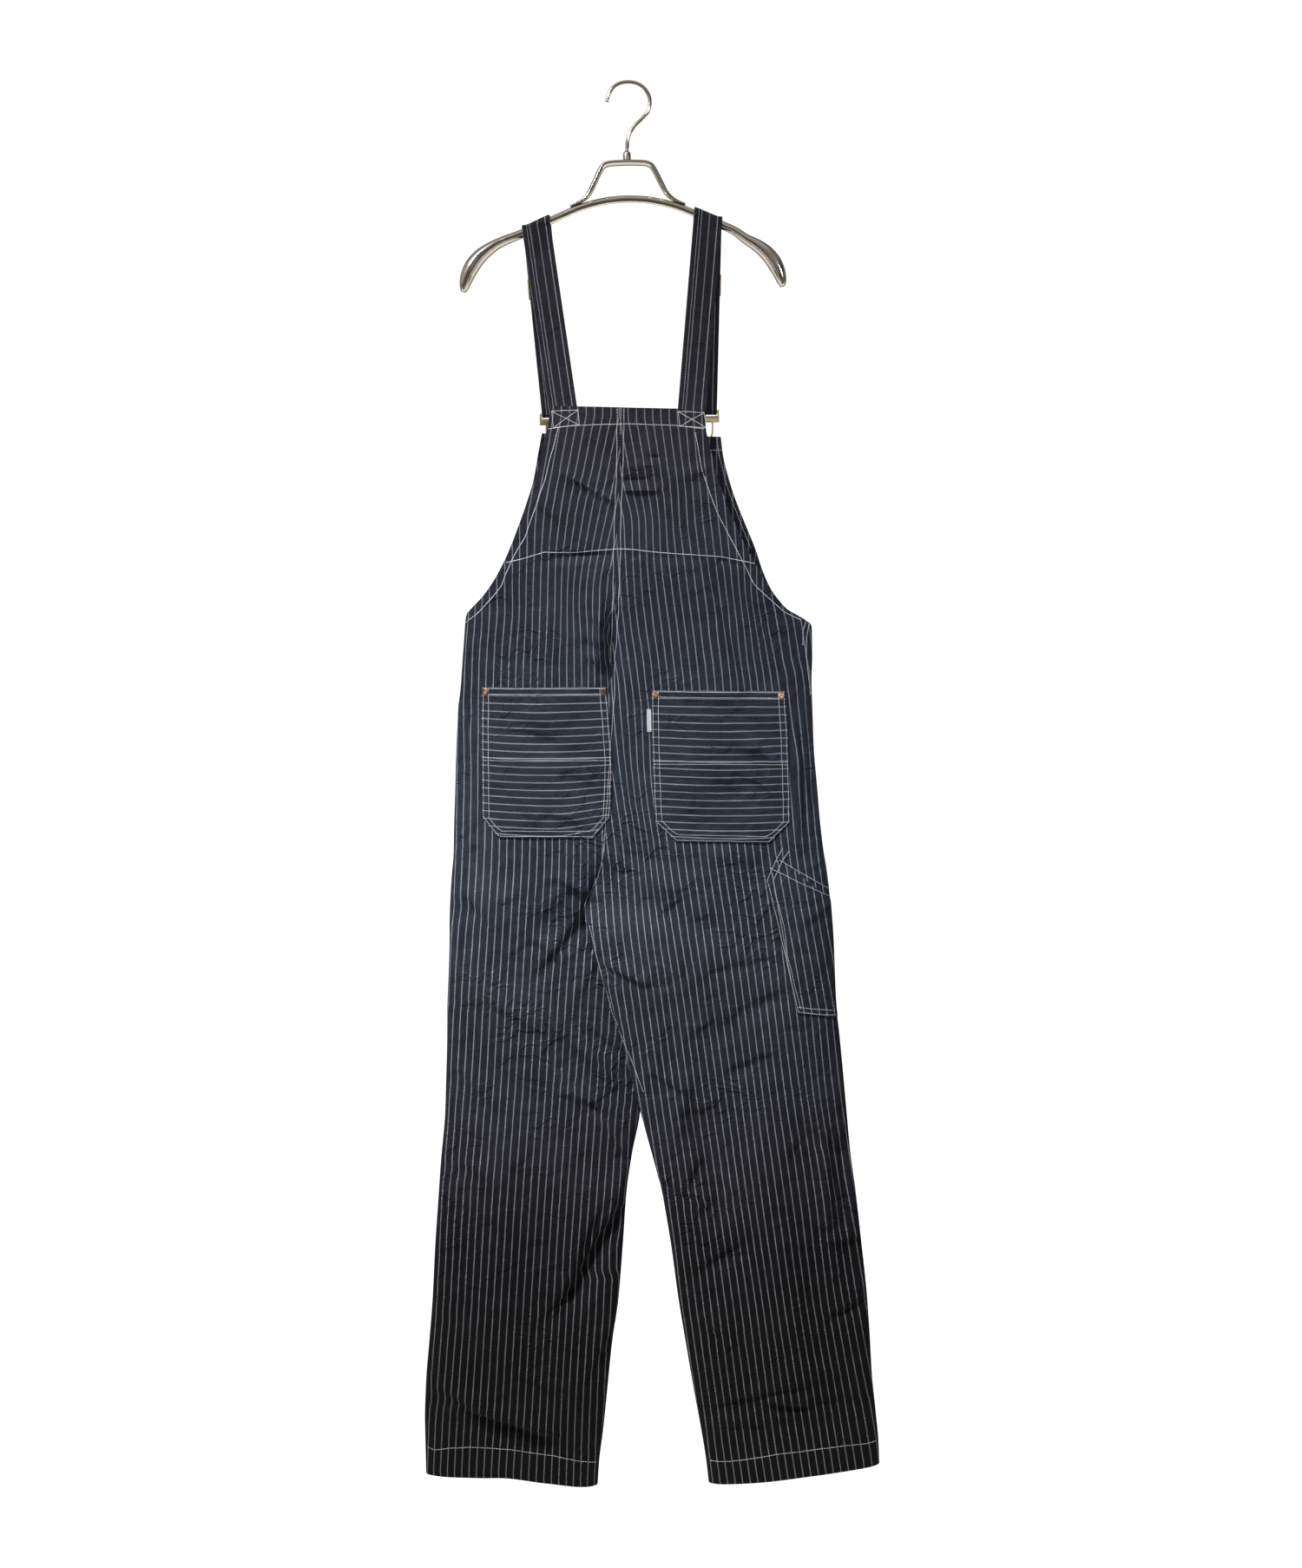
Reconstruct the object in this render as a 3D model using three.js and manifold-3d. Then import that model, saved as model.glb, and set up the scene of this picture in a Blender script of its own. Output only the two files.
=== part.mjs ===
// Striped dungarees hung by their shoulder straps over a metal coat hanger, seen from the back.
// Millimetres, +Z up. The origin is the inner top of the hanger's hook, where a rail would carry it.
// The garment's back faces -Y and its bib buttons face +Y. Left and right are the wearer's.

import * as THREE from 'three';
import { mergeVertices } from 'three/addons/utils/BufferGeometryUtils.js';
import Module from 'manifold-3d';

const wasm = await Module();
wasm.setup();

// Cloth sizes
const WALL = 1.6;                // two plies of 11 oz denim pressed flat at the seams, one ply felt full
const SEAM_GAP = 0.3;            // pieces sewn together stay this far apart
const FULLNESS = 2.4;            // exponent of the flattened oval that a hanging leg or body makes
const POCKET_PLY = 1.4;

// Heights
const CROTCH_Z = -1034;
const SEAT_RISE = 150;           // the centre seam comes out to full depth this far above the crotch
const WAIST_Z = -740;            // front waist seam
const HEM_Z = -1835;
const UNDERARM_Z = { left: -650, right: -664 };
const ARMHOLE_RISE = 70;         // front and back part over this height above the underarm
const ARMHOLE_OPEN = 0.5;        // share of the half width by which the oval is cut off at the armhole
const BACK_TOP_Z = -392;
const BIB_TOP_Z = -425;

// Body, a row for each section: height, side edges of the back, centre seam, depth of back and front
const BODY = [
  { z: -392, left: -109, seam: -20, right: 86, back: 8, front: 9 },
  { z: -415, left: -113, seam: -21, right: 87, back: 9, front: 9 },
  { z: -440, left: -119, seam: -22, right: 92, back: 9.5, front: 10 },
  { z: -470, left: -127, seam: -23, right: 99, back: 10.5, front: 11 },
  { z: -500, left: -138, seam: -25, right: 108, back: 12, front: 12 },
  { z: -535, left: -152, seam: -27, right: 121, back: 14, front: 13 },
  { z: -570, left: -167, seam: -29, right: 137, back: 15, front: 15 },
  { z: -600, left: -183, seam: -31, right: 153, back: 17, front: 16 },
  { z: -625, left: -201, seam: -32, right: 166, back: 18, front: 17 },
  { z: -640, left: -216, seam: -33, right: 179, back: 18.5, front: 18 },
  { z: -650, left: -225, seam: -34, right: 189, back: 19, front: 18.5 },
  { z: -662, left: -227, seam: -35, right: 210, back: 19.5, front: 19 },
  { z: -672, left: -228, seam: -36, right: 221, back: 20, front: 19 },
  { z: -710, left: -232, seam: -38, right: 221.5, back: 21, front: 20 },
  { z: -740, left: -235, seam: -40, right: 220.5, back: 22, front: 20 },
  { z: -780, left: -240, seam: -42.5, right: 221.5, back: 23, front: 20 },
  { z: -830, left: -244, seam: -43.5, right: 223, back: 24, front: 20 },
  { z: -880, left: -247, seam: -46, right: 227, back: 24, front: 20 },
  { z: -930, left: -250, seam: -50, right: 231, back: 24, front: 20 },
  { z: -965, left: -252, seam: -54.5, right: 235, back: 23, front: 20 },
  { z: -990, left: -255, seam: -62, right: 239, back: 22, front: 20 },
  { z: -1010, left: -257, seam: -71.5, right: 241.5, back: 22, front: 20 },
  { z: -1034, left: -259, seam: -81, right: 244, back: 21, front: 20 },
];

// Legs, a row for each section: outer and inner edge of each, depth of back and front. Down to the
// gap the right leg lies over the left one, so the left leg's inner edge is under it.
const LEGS = [
  { z: -1034, left: -259, leftInner: -81, rightInner: -81, right: 244, back: 21, front: 20 },
  { z: -1052, left: -260, leftInner: -80, rightInner: -80.5, right: 245.5, back: 20.5, front: 20 },
  { z: -1080, left: -261, leftInner: -67, rightInner: -73, right: 247.5, back: 20, front: 20 },
  { z: -1120, left: -263.5, leftInner: -49, rightInner: -63, right: 249, back: 20, front: 19 },
  { z: -1170, left: -267, leftInner: -31, rightInner: -47.5, right: 251, back: 19.5, front: 19 },
  { z: -1220, left: -269, leftInner: -18, rightInner: -34, right: 256, back: 19, front: 19 },
  { z: -1270, left: -272, leftInner: -11, rightInner: -23, right: 260.5, back: 19, front: 18 },
  { z: -1317, left: -275, leftInner: -12.5, rightInner: -12, right: 264.5, back: 19, front: 18 },
  { z: -1380, left: -282.5, leftInner: -25, rightInner: 3, right: 270, back: 18, front: 18 },
  { z: -1430, left: -287.5, leftInner: -33, rightInner: 14.5, right: 276.5, back: 18, front: 18 },
  { z: -1500, left: -294.5, leftInner: -39, rightInner: 25, right: 284, back: 18, front: 18 },
  { z: -1580, left: -301, leftInner: -47, rightInner: 34.5, right: 292, back: 18, front: 18 },
  { z: -1640, left: -307.5, leftInner: -57, rightInner: 43.5, right: 296, back: 18, front: 18 },
  { z: -1700, left: -314, leftInner: -64.5, rightInner: 53, right: 299, back: 18, front: 18 },
  { z: -1760, left: -317.5, leftInner: -72, rightInner: 63, right: 304.5, back: 18, front: 18 },
  { z: -1800, left: -318, leftInner: -78, rightInner: 69, right: 308, back: 19, front: 18 },
  { z: -1835, left: -318.5, leftInner: -81, rightInner: 72.5, right: 309.5, back: 19, front: 18 },
];

// How far the right leg's inner edge lies nearer the back, and the left one's nearer the front
const LEG_CROSSING = [
  { z: -1034, lift: 0 },
  { z: -1075, lift: 10 },
  { z: -1200, lift: 11 },
  { z: -1317, lift: 9 },
  { z: -1420, lift: 0 },
];

// Side edges of the front above the underarm, wider than the back so that they peek out past it
const FRONT_EDGES = [
  { z: -425, left: -122, right: 106.5 },
  { z: -450, left: -127.5, right: 109.5 },
  { z: -485, left: -135, right: 118 },
  { z: -510, left: -144, right: 126 },
  { z: -535, left: -153, right: 135.5 },
  { z: -572, left: -168.5, right: 150 },
  { z: -600, left: -184, right: 159 },
  { z: -625, left: -202, right: 170 },
  { z: -640, left: -217, right: 181 },
  { z: -650, left: -225, right: 190 },
  { z: -662, left: -227, right: 210 },
  { z: -672, left: -228, right: 221 },
];

// Lower edge of the legs across the garment, measured from HEM_Z, and upper edge of the back
const HEM_LINE = [
  { x: -318, drop: -5 }, { x: -222, drop: -5 }, { x: -150, drop: 5 }, { x: -81, drop: 16 },
  { x: 72, drop: 15 }, { x: 148, drop: 9 }, { x: 220, drop: 0 }, { x: 310, drop: -8 },
];
const TOP_TILT = 7.5 / 195;      // the back's top edge falls to the wearer's right
const TOP_TILT_X = -12;

// Largest folds: line from one end to the other, half width, height out of the cloth (below 0 is in)
const BACK_FOLDS = [
  { x0: -54, z0: -610, x1: -47, z1: -700, width: 16, height: 4.5 },
  { x0: -38, z0: -650, x1: -44, z1: -745, width: 9, height: -4 },
  { x0: 108, z0: -640, x1: 140, z1: -742, width: 18, height: -3.5 },
  { x0: 158, z0: -665, x1: 196, z1: -740, width: 15, height: -3.5 },
  { x0: 190, z0: -745, x1: 216, z1: -960, width: 12, height: -4 },
  { x0: -236, z0: -790, x1: -226, z1: -930, width: 14, height: -4 },
  { x0: -75, z0: -1000, x1: -150, z1: -1075, width: 20, height: -4 },
  { x0: -40, z0: -985, x1: 60, z1: -1060, width: 22, height: -4 },
  { x0: 10, z0: -1050, x1: 95, z1: -1180, width: 26, height: 4 },
  { x0: -118, z0: -1215, x1: -60, z1: -1275, width: 20, height: -4 },
  { x0: -36, z0: -1450, x1: -110, z1: -1580, width: 18, height: -4 },
  { x0: 60, z0: -1320, x1: 88, z1: -1440, width: 18, height: -4 },
  { x0: 246, z0: -1320, x1: 262, z1: -1540, width: 16, height: -4 },
  { x0: -262, z0: -1740, x1: -120, z1: -1786, width: 16, height: -3.5 },
  { x0: 120, z0: -1742, x1: 260, z1: -1738, width: 16, height: -3.5 },
  { x0: -200, z0: -1400, x1: -190, z1: -1700, width: 30, height: 3 },
  { x0: 170, z0: -1380, x1: 200, z1: -1700, width: 30, height: 3 },
];
const FRONT_FOLDS = [
  { x0: -60, z0: -990, x1: -170, z1: -1060, width: 22, height: -4 },
  { x0: -30, z0: -990, x1: 90, z1: -1075, width: 24, height: -4 },
  { x0: -60, z0: -1440, x1: -140, z1: -1560, width: 20, height: -4 },
  { x0: 50, z0: -1400, x1: 120, z1: -1520, width: 20, height: -4 },
  { x0: -200, z0: -1300, x1: -210, z1: -1700, width: 30, height: 3 },
  { x0: 160, z0: -1300, x1: 200, z1: -1700, width: 30, height: 3 },
  { x0: -180, z0: -760, x1: -200, z1: -960, width: 20, height: -3 },
  { x0: 150, z0: -760, x1: 190, z1: -960, width: 20, height: -3 },
];

// Outlines in the picture plane, a row for each corner: patch pockets on the seat
const SEAT_POCKETS = {
  left: [
    { x: -206.5, z: -743 }, { x: -45.5, z: -745 }, { x: -42, z: -795 }, { x: -40, z: -850 },
    { x: -44.5, z: -912 }, { x: -67, z: -939 }, { x: -189.5, z: -938 }, { x: -211, z: -912 },
    { x: -209.5, z: -842 }, { x: -208.5, z: -790 },
  ],
  right: [
    { x: 12, z: -750 }, { x: 184.5, z: -755 }, { x: 187.5, z: -805 }, { x: 189, z: -853 },
    { x: 190, z: -922 }, { x: 162.5, z: -949 }, { x: 40.5, z: -946 }, { x: 14, z: -919 },
    { x: 12, z: -846 }, { x: 11.5, z: -800 },
  ],
};

// Tool pocket on the right leg, let into the side seam, with a slanted mouth
const TOOL_POCKET = [
  { x: 175, z: -972 }, { x: 260, z: -1031 }, { x: 260, z: -1190 }, { x: 197.5, z: -1181 },
  { x: 180.5, z: -1104 }, { x: 164.5, z: -1040 }, { x: 160, z: -1003 },
];

// Tab in the right pocket's edge
const TAB = [
  { x: 5.7, z: -774 }, { x: 11.2, z: -774 }, { x: 11.2, z: -803 }, { x: 5.7, z: -803 },
];

// Metal on the cloth
const RIVET = { radius: 4.2, rim: 0.8, height: 1.3, nib: 1.2, nibHeight: 1.6 };
const RIVET_PLACES = {
  left: [{ x: -201.5, z: -748 }, { x: -50, z: -750 }],
  right: [{ x: 16.8, z: -755 }, { x: 179.5, z: -760 }],
};
const BUTTON = { cap: 8.5, capHeight: 2.4, shank: 3, shankHeight: 3.6, edge: 1 };
const SIDE_BUTTON = { cap: 7, capHeight: 2.2, shank: 3, shankHeight: 0.6, edge: 1 };
const SIDE_BUTTON_Z = [-682, -722];
const SIDE_BUTTON_INSET = 22;

// Shoulder straps, one ribbon each: sewn inside the back, over the hanger, down the front round the
// buckle's rail and back up to the slider
const STRAP = { width: 36, thickness: 2 };
const STRAP_SEWN_Z = -420;
const STRAP_OFF_BAR = 12;        // the strap leaves the bar this far below its middle
const STRAP_STEPS = { run: 8, over: 8, loop: 5 };
const STRAP_TAIL = 8;            // end behind the slider
const STRAPS = {
  left: { hangerX: -121.5, backX: -93.5, frontX: -103.5 },
  right: { hangerX: 93, backX: 70, frontX: 84 },
};
const CLEAR = 0.3;
const FACET_EASE = 0.2;          // more clearance where a flat strap lies on a curved wall
const LOOP_EASE = 0.6;           // a strap's turn round a square bar stands off its corners
const BUCKLE = {
  width: 42, railZ: -397, rail: 3.5, plate: 2.8, y: 12, slot: 4.2, foot: -411,
  slotWidth: 37.4, wire: 1.3, neck: 4.7, buttonZ: -449,
};
const BUCKLE_WIRE = [
  { spread: 12.5, z: -409.5 }, { spread: 12.5, z: -421 }, { spread: 10.5, z: -430 },
  { spread: 5.7, z: -439 }, { spread: 4.7, z: -449 },
];
const SLIDER = { width: 42, height: 26, z: -240, plate: 2.2, y: 14.4, slotWidth: 37.4, rail: 3, bar: 3 };

// Hanger: centreline of the bar on each side of the middle, with half thickness and half depth
const HANGER_X = -6.8;
const BAR = [
  { reach: 0, z: -136.3, half: 4.4, deep: 4.4 },
  { reach: 20, z: -137.3, half: 4.4, deep: 4.4 },
  { reach: 40, z: -140.6, half: 4.4, deep: 4.4 },
  { reach: 60, z: -145.8, half: 4.4, deep: 4.4 },
  { reach: 80, z: -153.6, half: 4.4, deep: 4.6 },
  { reach: 98, z: -161.2, half: 4.6, deep: 6.4 },
  { reach: 115, z: -168.6, half: 4.8, deep: 8.2 },
  { reach: 135, z: -177.2, half: 4.9, deep: 10.5 },
  { reach: 155, z: -187, half: 5, deep: 12.5 },
];
// End caps: beyond the bar's last row, swelling and turning down to a blunt tip
const CAP = [
  { run: 14, z: -194.5, half: 6.2, deep: 14 },
  { run: 26, z: -203.5, half: 7.4, deep: 15.5 },
  { run: 36, z: -214.5, half: 7.6, deep: 16 },
  { run: 42.5, z: -227, half: 6.6, deep: 15 },
  { run: 45.5, z: -238, half: 5, deep: 12.5 },
  { run: 46.5, z: -245, half: 3, deep: 8 },
];
const ARM_EXTRA = { left: 7.5, right: -8 };   // the telescoped arms are pulled out by unlike lengths
const ARM_FIXED = 130;           // reach up to which the bar stays the same on both sides
const BRIDGE = [
  { out: 72, z: -143.8, half: 1.1, deep: 4.5 },
  { out: 60, z: -139, half: 1.6, deep: 5.5 },
  { out: 50, z: -131.5, half: 2.4, deep: 6.5 },
  { out: 41.5, z: -117, half: 2.8, deep: 8 },
  { out: 34, z: -102.5, half: 2.8, deep: 8.5 },
  { out: 29, z: -95.5, half: 2.6, deep: 9 },
  { out: 21, z: -92.9, half: 2.5, deep: 9 },
  { out: 0, z: -92.3, half: 2.5, deep: 9 },
];
const HOOK_WIRE = 2.1;
const HOOK = [
  [-30.1, -19.5], [-28.2, -12.5], [-22.6, -4.4], [-14.2, 0.5], [-3.8, 2.1], [7.5, 0.2],
  [16.4, -5.6], [21.6, -13.5], [23, -22], [20.6, -31.5], [13.5, -40], [4, -48.6], [-2.2, -56.6],
  [-5.6, -66], [-6.3, -75.8],
];
const FERRULE = [
  [0, -89.6], [5, -89.6], [5, -82.5], [4.2, -79.8], [2, -78.9], [2.3, -77.7], [1.8, -76.2], [0, -76.2],
];

// Meshing
const ROW_STEP = 46;
const COLUMNS = { back: 11, front: 8 };
const PRISM_DEPTH = 200;
const BIB_COLUMNS = 6;

const PAINT = {
  cloth: { color: 0x2c2d35, roughness: 0.92, metalness: 0 },
  chrome: { color: 0xb9b0a4, roughness: 0.18, metalness: 1 },
  copper: { color: 0xb8683c, roughness: 0.38, metalness: 1 },
  gilt: { color: 0xc9b48c, roughness: 0.32, metalness: 1 },
};

const smoothstep = (a, b, v) => {
  const k = Math.min(1, Math.max(0, (v - a) / (b - a)));
  return k * k * (3 - 2 * k);
};

// One column of a table at a place along its key, on a smooth curve that never overshoots a row
function lookUp(rows, key, name, at) {
  const sign = Math.sign(rows[1][key] - rows[0][key]);
  let i = 0;
  while (i < rows.length - 2 && sign * (at - rows[i + 1][key]) > 0) i += 1;
  const slope = (k) => (rows[k + 1][name] - rows[k][name]) / (rows[k + 1][key] - rows[k][key]);
  const tangent = (k) => {
    if (k === 0) return slope(0);
    if (k === rows.length - 1) return slope(rows.length - 2);
    const before = slope(k - 1);
    const after = slope(k);
    if (before * after <= 0) return 0;
    return (2 * before * after) / (before + after);
  };
  const span = rows[i + 1][key] - rows[i][key];
  const t = Math.min(1, Math.max(0, (at - rows[i][key]) / span));
  const t2 = t * t;
  const t3 = t2 * t;
  return (2 * t3 - 3 * t2 + 1) * rows[i][name] + (t3 - 2 * t2 + t) * span * tangent(i)
    + (3 * t2 - 2 * t3) * rows[i + 1][name] + (t3 - t2) * span * tangent(i + 1);
}

const column = (name, z) => lookUp(z > CROTCH_Z ? BODY : LEGS, 'z', name, z);

// Outer edge of a half of the back or the front
function outerEdge(face, half, z) {
  if (face === 'front' && z > FRONT_EDGES.at(-1).z) return lookUp(FRONT_EDGES, 'z', half, z);
  return column(half, z);
}

const innerEdge = (half, z) => (z > CROTCH_Z ? column('seam', z) : column(`${half}Inner`, z));

// The part of the oval that a half takes, from -1 at the side seam to 1 at the inseam
function ovalSpan(half, z) {
  const underarm = UNDERARM_Z[half];
  return {
    from: -1 + ARMHOLE_OPEN * smoothstep(underarm, underarm + ARMHOLE_RISE, z),
    to: 1 - smoothstep(CROTCH_Z, CROTCH_Z + SEAT_RISE, z),
  };
}

function foldHeight(folds, x, z) {
  let sum = 0;
  for (const f of folds) {
    const dx = f.x1 - f.x0;
    const dz = f.z1 - f.z0;
    const k = Math.min(1, Math.max(0, ((x - f.x0) * dx + (z - f.z0) * dz) / (dx * dx + dz * dz)));
    const away = Math.hypot(x - f.x0 - k * dx, z - f.z0 - k * dz);
    sum += f.height * Math.exp(-((away / f.width) ** 2));
  }
  return sum;
}

// How far the cloth's ends lie below their nominal rows
function edgeDrop(x, z) {
  const hem = lookUp(HEM_LINE, 'x', 'drop', x) * smoothstep(-1500, HEM_Z, z);
  const top = TOP_TILT * (x - TOP_TILT_X) * smoothstep(-600, BACK_TOP_Z, z);
  return hem + top;
}

// Outer surface of the back or front of one half, at a height and an angle round the oval
function surface(face, half, z, t) {
  const { from, to } = ovalSpan(half, z);
  const outer = outerEdge(face, half, z);
  const share = (t - from) / (to - from);
  const x = outer + (innerEdge(half, z) - outer) * share;
  const bulge = (1 - Math.min(1, Math.abs(t)) ** FULLNESS) ** (1 / FULLNESS);
  const facing = face === 'back' ? -1 : 1;
  const folds = face === 'back' ? BACK_FOLDS : FRONT_FOLDS;
  const nearer = half === 'right' ? -1 : 1;
  const lift = z > CROTCH_Z ? 0 : lookUp(LEG_CROSSING, 'z', 'lift', z);
  const middle = nearer * lift * smoothstep(0, 1, t);
  const y = middle + facing * bulge * (column(face, z) + foldHeight(folds, x, z));
  return { point: new THREE.Vector3(x, y, z - edgeDrop(x, z)), middle };
}

// The same by share of the angle, so that points lie closer where the oval turns, and its normal
function surfaceAt(face, half, z, share) {
  const at = (height, s) => {
    const { from, to } = ovalSpan(half, height);
    const first = Math.acos(-from);
    const last = Math.acos(-to);
    return surface(face, half, height, -Math.cos(first + (last - first) * s));
  };
  const step = 0.01;
  const here = at(z, share);
  const across = at(z, Math.min(1, share + step)).point.sub(at(z, Math.max(0, share - step)).point);
  const up = at(z + 1, share).point.sub(at(z - 1, share).point);
  const normal = across.cross(up).normalize();
  const outward = face === 'back' ? -1 : 1;
  const side = half === 'left' ? -1 : 1;
  if (normal.y * outward + normal.x * side * 1e-3 < 0) normal.negate();
  return { ...here, normal };
}

// Point on the outer surface of the back or front above a place in the picture plane, moved out
function onCloth(face, x, z, out) {
  const seam = z > CROTCH_Z ? column('seam', z) : 0;
  const half = x < seam ? 'left' : 'right';
  const { from, to } = ovalSpan(half, z);
  const outer = outerEdge(face, half, z);
  const t = from + ((x - outer) / (innerEdge(half, z) - outer)) * (to - from);
  const share = (Math.acos(-Math.max(-1, Math.min(1, t))) - Math.acos(-from))
    / (Math.acos(-to) - Math.acos(-from));
  const { point, normal } = surfaceAt(face, half, z, share);
  return { point: point.addScaledVector(normal, out), normal };
}

// Closed wall between two grids of points, faces outwards
function wallSolid(outer, inner) {
  const rows = outer.length;
  const cols = outer[0].length;
  const points = [...outer.flat(), ...inner.flat()];
  const o = (r, c) => r * cols + c;
  const i = (r, c) => rows * cols + r * cols + c;
  const index = [];
  const quad = (a, b, c, d) => index.push(a, b, c, a, c, d);
  for (let r = 0; r < rows - 1; r += 1) {
    for (let c = 0; c < cols - 1; c += 1) {
      quad(o(r, c), o(r + 1, c), o(r + 1, c + 1), o(r, c + 1));
      quad(i(r, c), i(r, c + 1), i(r + 1, c + 1), i(r + 1, c));
    }
    quad(o(r, 0), i(r, 0), i(r + 1, 0), o(r + 1, 0));
    quad(o(r, cols - 1), o(r + 1, cols - 1), i(r + 1, cols - 1), i(r, cols - 1));
  }
  for (let c = 0; c < cols - 1; c += 1) {
    quad(o(0, c), o(0, c + 1), i(0, c + 1), i(0, c));
    quad(o(rows - 1, c), i(rows - 1, c), i(rows - 1, c + 1), o(rows - 1, c + 1));
  }
  return closedGeometry(points, index);
}

// Geometry from points and triangles, turned so that its faces point out
function closedGeometry(points, index) {
  let volume = 0;
  for (let k = 0; k < index.length; k += 3) {
    const [a, b, c] = [points[index[k]], points[index[k + 1]], points[index[k + 2]]];
    volume += a.dot(new THREE.Vector3().crossVectors(b, c));
  }
  if (volume < 0) index.reverse();
  const geometry = new THREE.BufferGeometry();
  geometry.setAttribute('position', new THREE.Float32BufferAttribute(points.flatMap((p) => p.toArray()), 3));
  geometry.setIndex(index);
  return geometry;
}

// Heights between two ends: the tables' own rows and more where they lie far apart
function heights(top, bottom, extra = []) {
  const ends = [top, bottom, ...extra, ...BODY.map((r) => r.z), ...LEGS.map((r) => r.z)];
  const marks = [...new Set(ends)].filter((z) => z <= top && z >= bottom).sort((a, b) => b - a);
  const out = [marks[0]];
  for (let k = 1; k < marks.length; k += 1) {
    const gap = marks[k - 1] - marks[k];
    const parts = Math.ceil(gap / ROW_STEP);
    for (let p = 1; p <= parts; p += 1) out.push(marks[k - 1] - (gap * p) / parts);
  }
  return out;
}

const CROTCH_ROWS = [-1000, -1022, -1030];
const INSEAM_MEET = 25;          // the legs touch along the centre line this far below the crotch

// Keeps a piece on its own side of the side seam, the inseam and the centre seam
function keepInSeams(p, face, half, z, middle) {
  const facing = face === 'back' ? -1 : 1;
  p.y = middle + facing * Math.max(SEAM_GAP / 2, facing * (p.y - middle));
  const limit = innerEdge(half, z);
  if (half === 'left' && z > CROTCH_Z - INSEAM_MEET) p.x = Math.min(p.x, limit - SEAM_GAP / 2);
  if (half === 'right' && z > CROTCH_Z - INSEAM_MEET) p.x = Math.max(p.x, limit + SEAM_GAP / 2);
  return p;
}

// A row of outer and inner points across one half
function clothRow(face, half, z, columns) {
  const outer = [];
  const inner = [];
  for (let c = 0; c <= columns; c += 1) {
    const { point, normal, middle } = surfaceAt(face, half, z, c / columns);
    outer.push(keepInSeams(point.clone(), face, half, z, middle));
    inner.push(keepInSeams(point.clone().addScaledVector(normal, -WALL), face, half, z, middle));
  }
  return { outer, inner };
}

// A leg panel with its half of the seat
function halfPanel(face, half, top) {
  const rows = heights(top, HEM_Z, CROTCH_ROWS).map((z) => clothRow(face, half, z, COLUMNS[face]));
  return wallSolid(rows.map((r) => r.outer), rows.map((r) => r.inner));
}

// The front bib, one piece from armhole to armhole
function bibPanel(top, bottom) {
  const rows = heights(top, bottom).map((z) => {
    const l = clothRow('front', 'left', z, BIB_COLUMNS);
    const r = clothRow('front', 'right', z, BIB_COLUMNS);
    const join = (a, b) => [...a.slice(0, -1), ...b.reverse()];
    return { outer: join(l.outer, r.outer), inner: join(l.inner, r.inner) };
  });
  return wallSolid(rows.map((r) => r.outer), rows.map((r) => r.inner));
}

// A piece that lies on the back: the panel's own points moved out, cut to an outline
function patch(half, outline, ply) {
  const grid = (out) => heights(BACK_TOP_Z, HEM_Z, CROTCH_ROWS).map((z) => {
    const line = [];
    for (let c = 0; c <= COLUMNS.back; c += 1) {
      const { point, normal, middle } = surfaceAt('back', half, z, c / COLUMNS.back);
      line.push(keepInSeams(point.addScaledVector(normal, out), 'back', half, z, middle));
    }
    return line;
  });
  const sheet = toManifold(wallSolid(grid(SEAM_GAP + ply), grid(SEAM_GAP)));
  const shape = new THREE.Shape(outline.map(({ x, z }) => new THREE.Vector2(x, z)));
  const prism = new THREE.ExtrudeGeometry(shape, { depth: PRISM_DEPTH, bevelEnabled: false });
  prism.rotateX(Math.PI / 2);
  return fromManifold(sheet.intersect(toManifold(prism)));
}

// Sweep of an oval or flat section: wide along one axis, thick across it and the path
function sweep(path, axis, wide, thick, corners) {
  const rings = path.map((p, k) => {
    const along = path[Math.min(path.length - 1, k + 1)].clone().sub(path[Math.max(0, k - 1)]).normalize();
    const tilt = typeof axis === 'function' ? axis(k) : axis;
    const side = tilt.clone().addScaledVector(along, -tilt.dot(along)).normalize();
    const across = new THREE.Vector3().crossVectors(along, side).normalize();
    const corner = ([u, v]) => p.clone().addScaledVector(side, u * wide(k)).addScaledVector(across, v * thick(k));
    return corners.map(corner);
  });
  const n = corners.length;
  const points = rings.flat();
  const index = [];
  for (let r = 0; r < rings.length - 1; r += 1) {
    for (let c = 0; c < n; c += 1) {
      const a = r * n + c;
      const b = r * n + ((c + 1) % n);
      index.push(a, b, b + n, a, b + n, a + n);
    }
  }
  const last = (rings.length - 1) * n;
  for (let c = 1; c < n - 1; c += 1) {
    index.push(0, c + 1, c);
    index.push(last, last + c, last + c + 1);
  }
  return closedGeometry(points, index);
}

const FLAT = [[-1, -1], [1, -1], [1, 1], [-1, 1]];
const ROUNDED = [[-1, -0.5], [-0.8, -1], [0.8, -1], [1, -0.5], [1, 0.5], [0.8, 1], [-0.8, 1], [-1, 0.5]];
const oval = (sides) => Array.from({ length: sides }, (_, k) => {
  const a = (2 * Math.PI * k) / sides;
  return [Math.cos(a), Math.sin(a)];
});

// Bar of the hanger at a place along X
function barAt(x) {
  const side = x < HANGER_X ? 'left' : 'right';
  const reach = Math.abs(x - HANGER_X);
  const field = (name) => lookUp(BAR, 'reach', name, Math.min(reach, BAR.at(-1).reach));
  const step = 4;
  const near = lookUp(BAR, 'reach', 'z', reach - step);
  const slope = Math.atan2(near - field('z'), step) * (side === 'left' ? 1 : -1);
  return { z: field('z'), half: field('half'), deep: field('deep'), slope };
}

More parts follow.
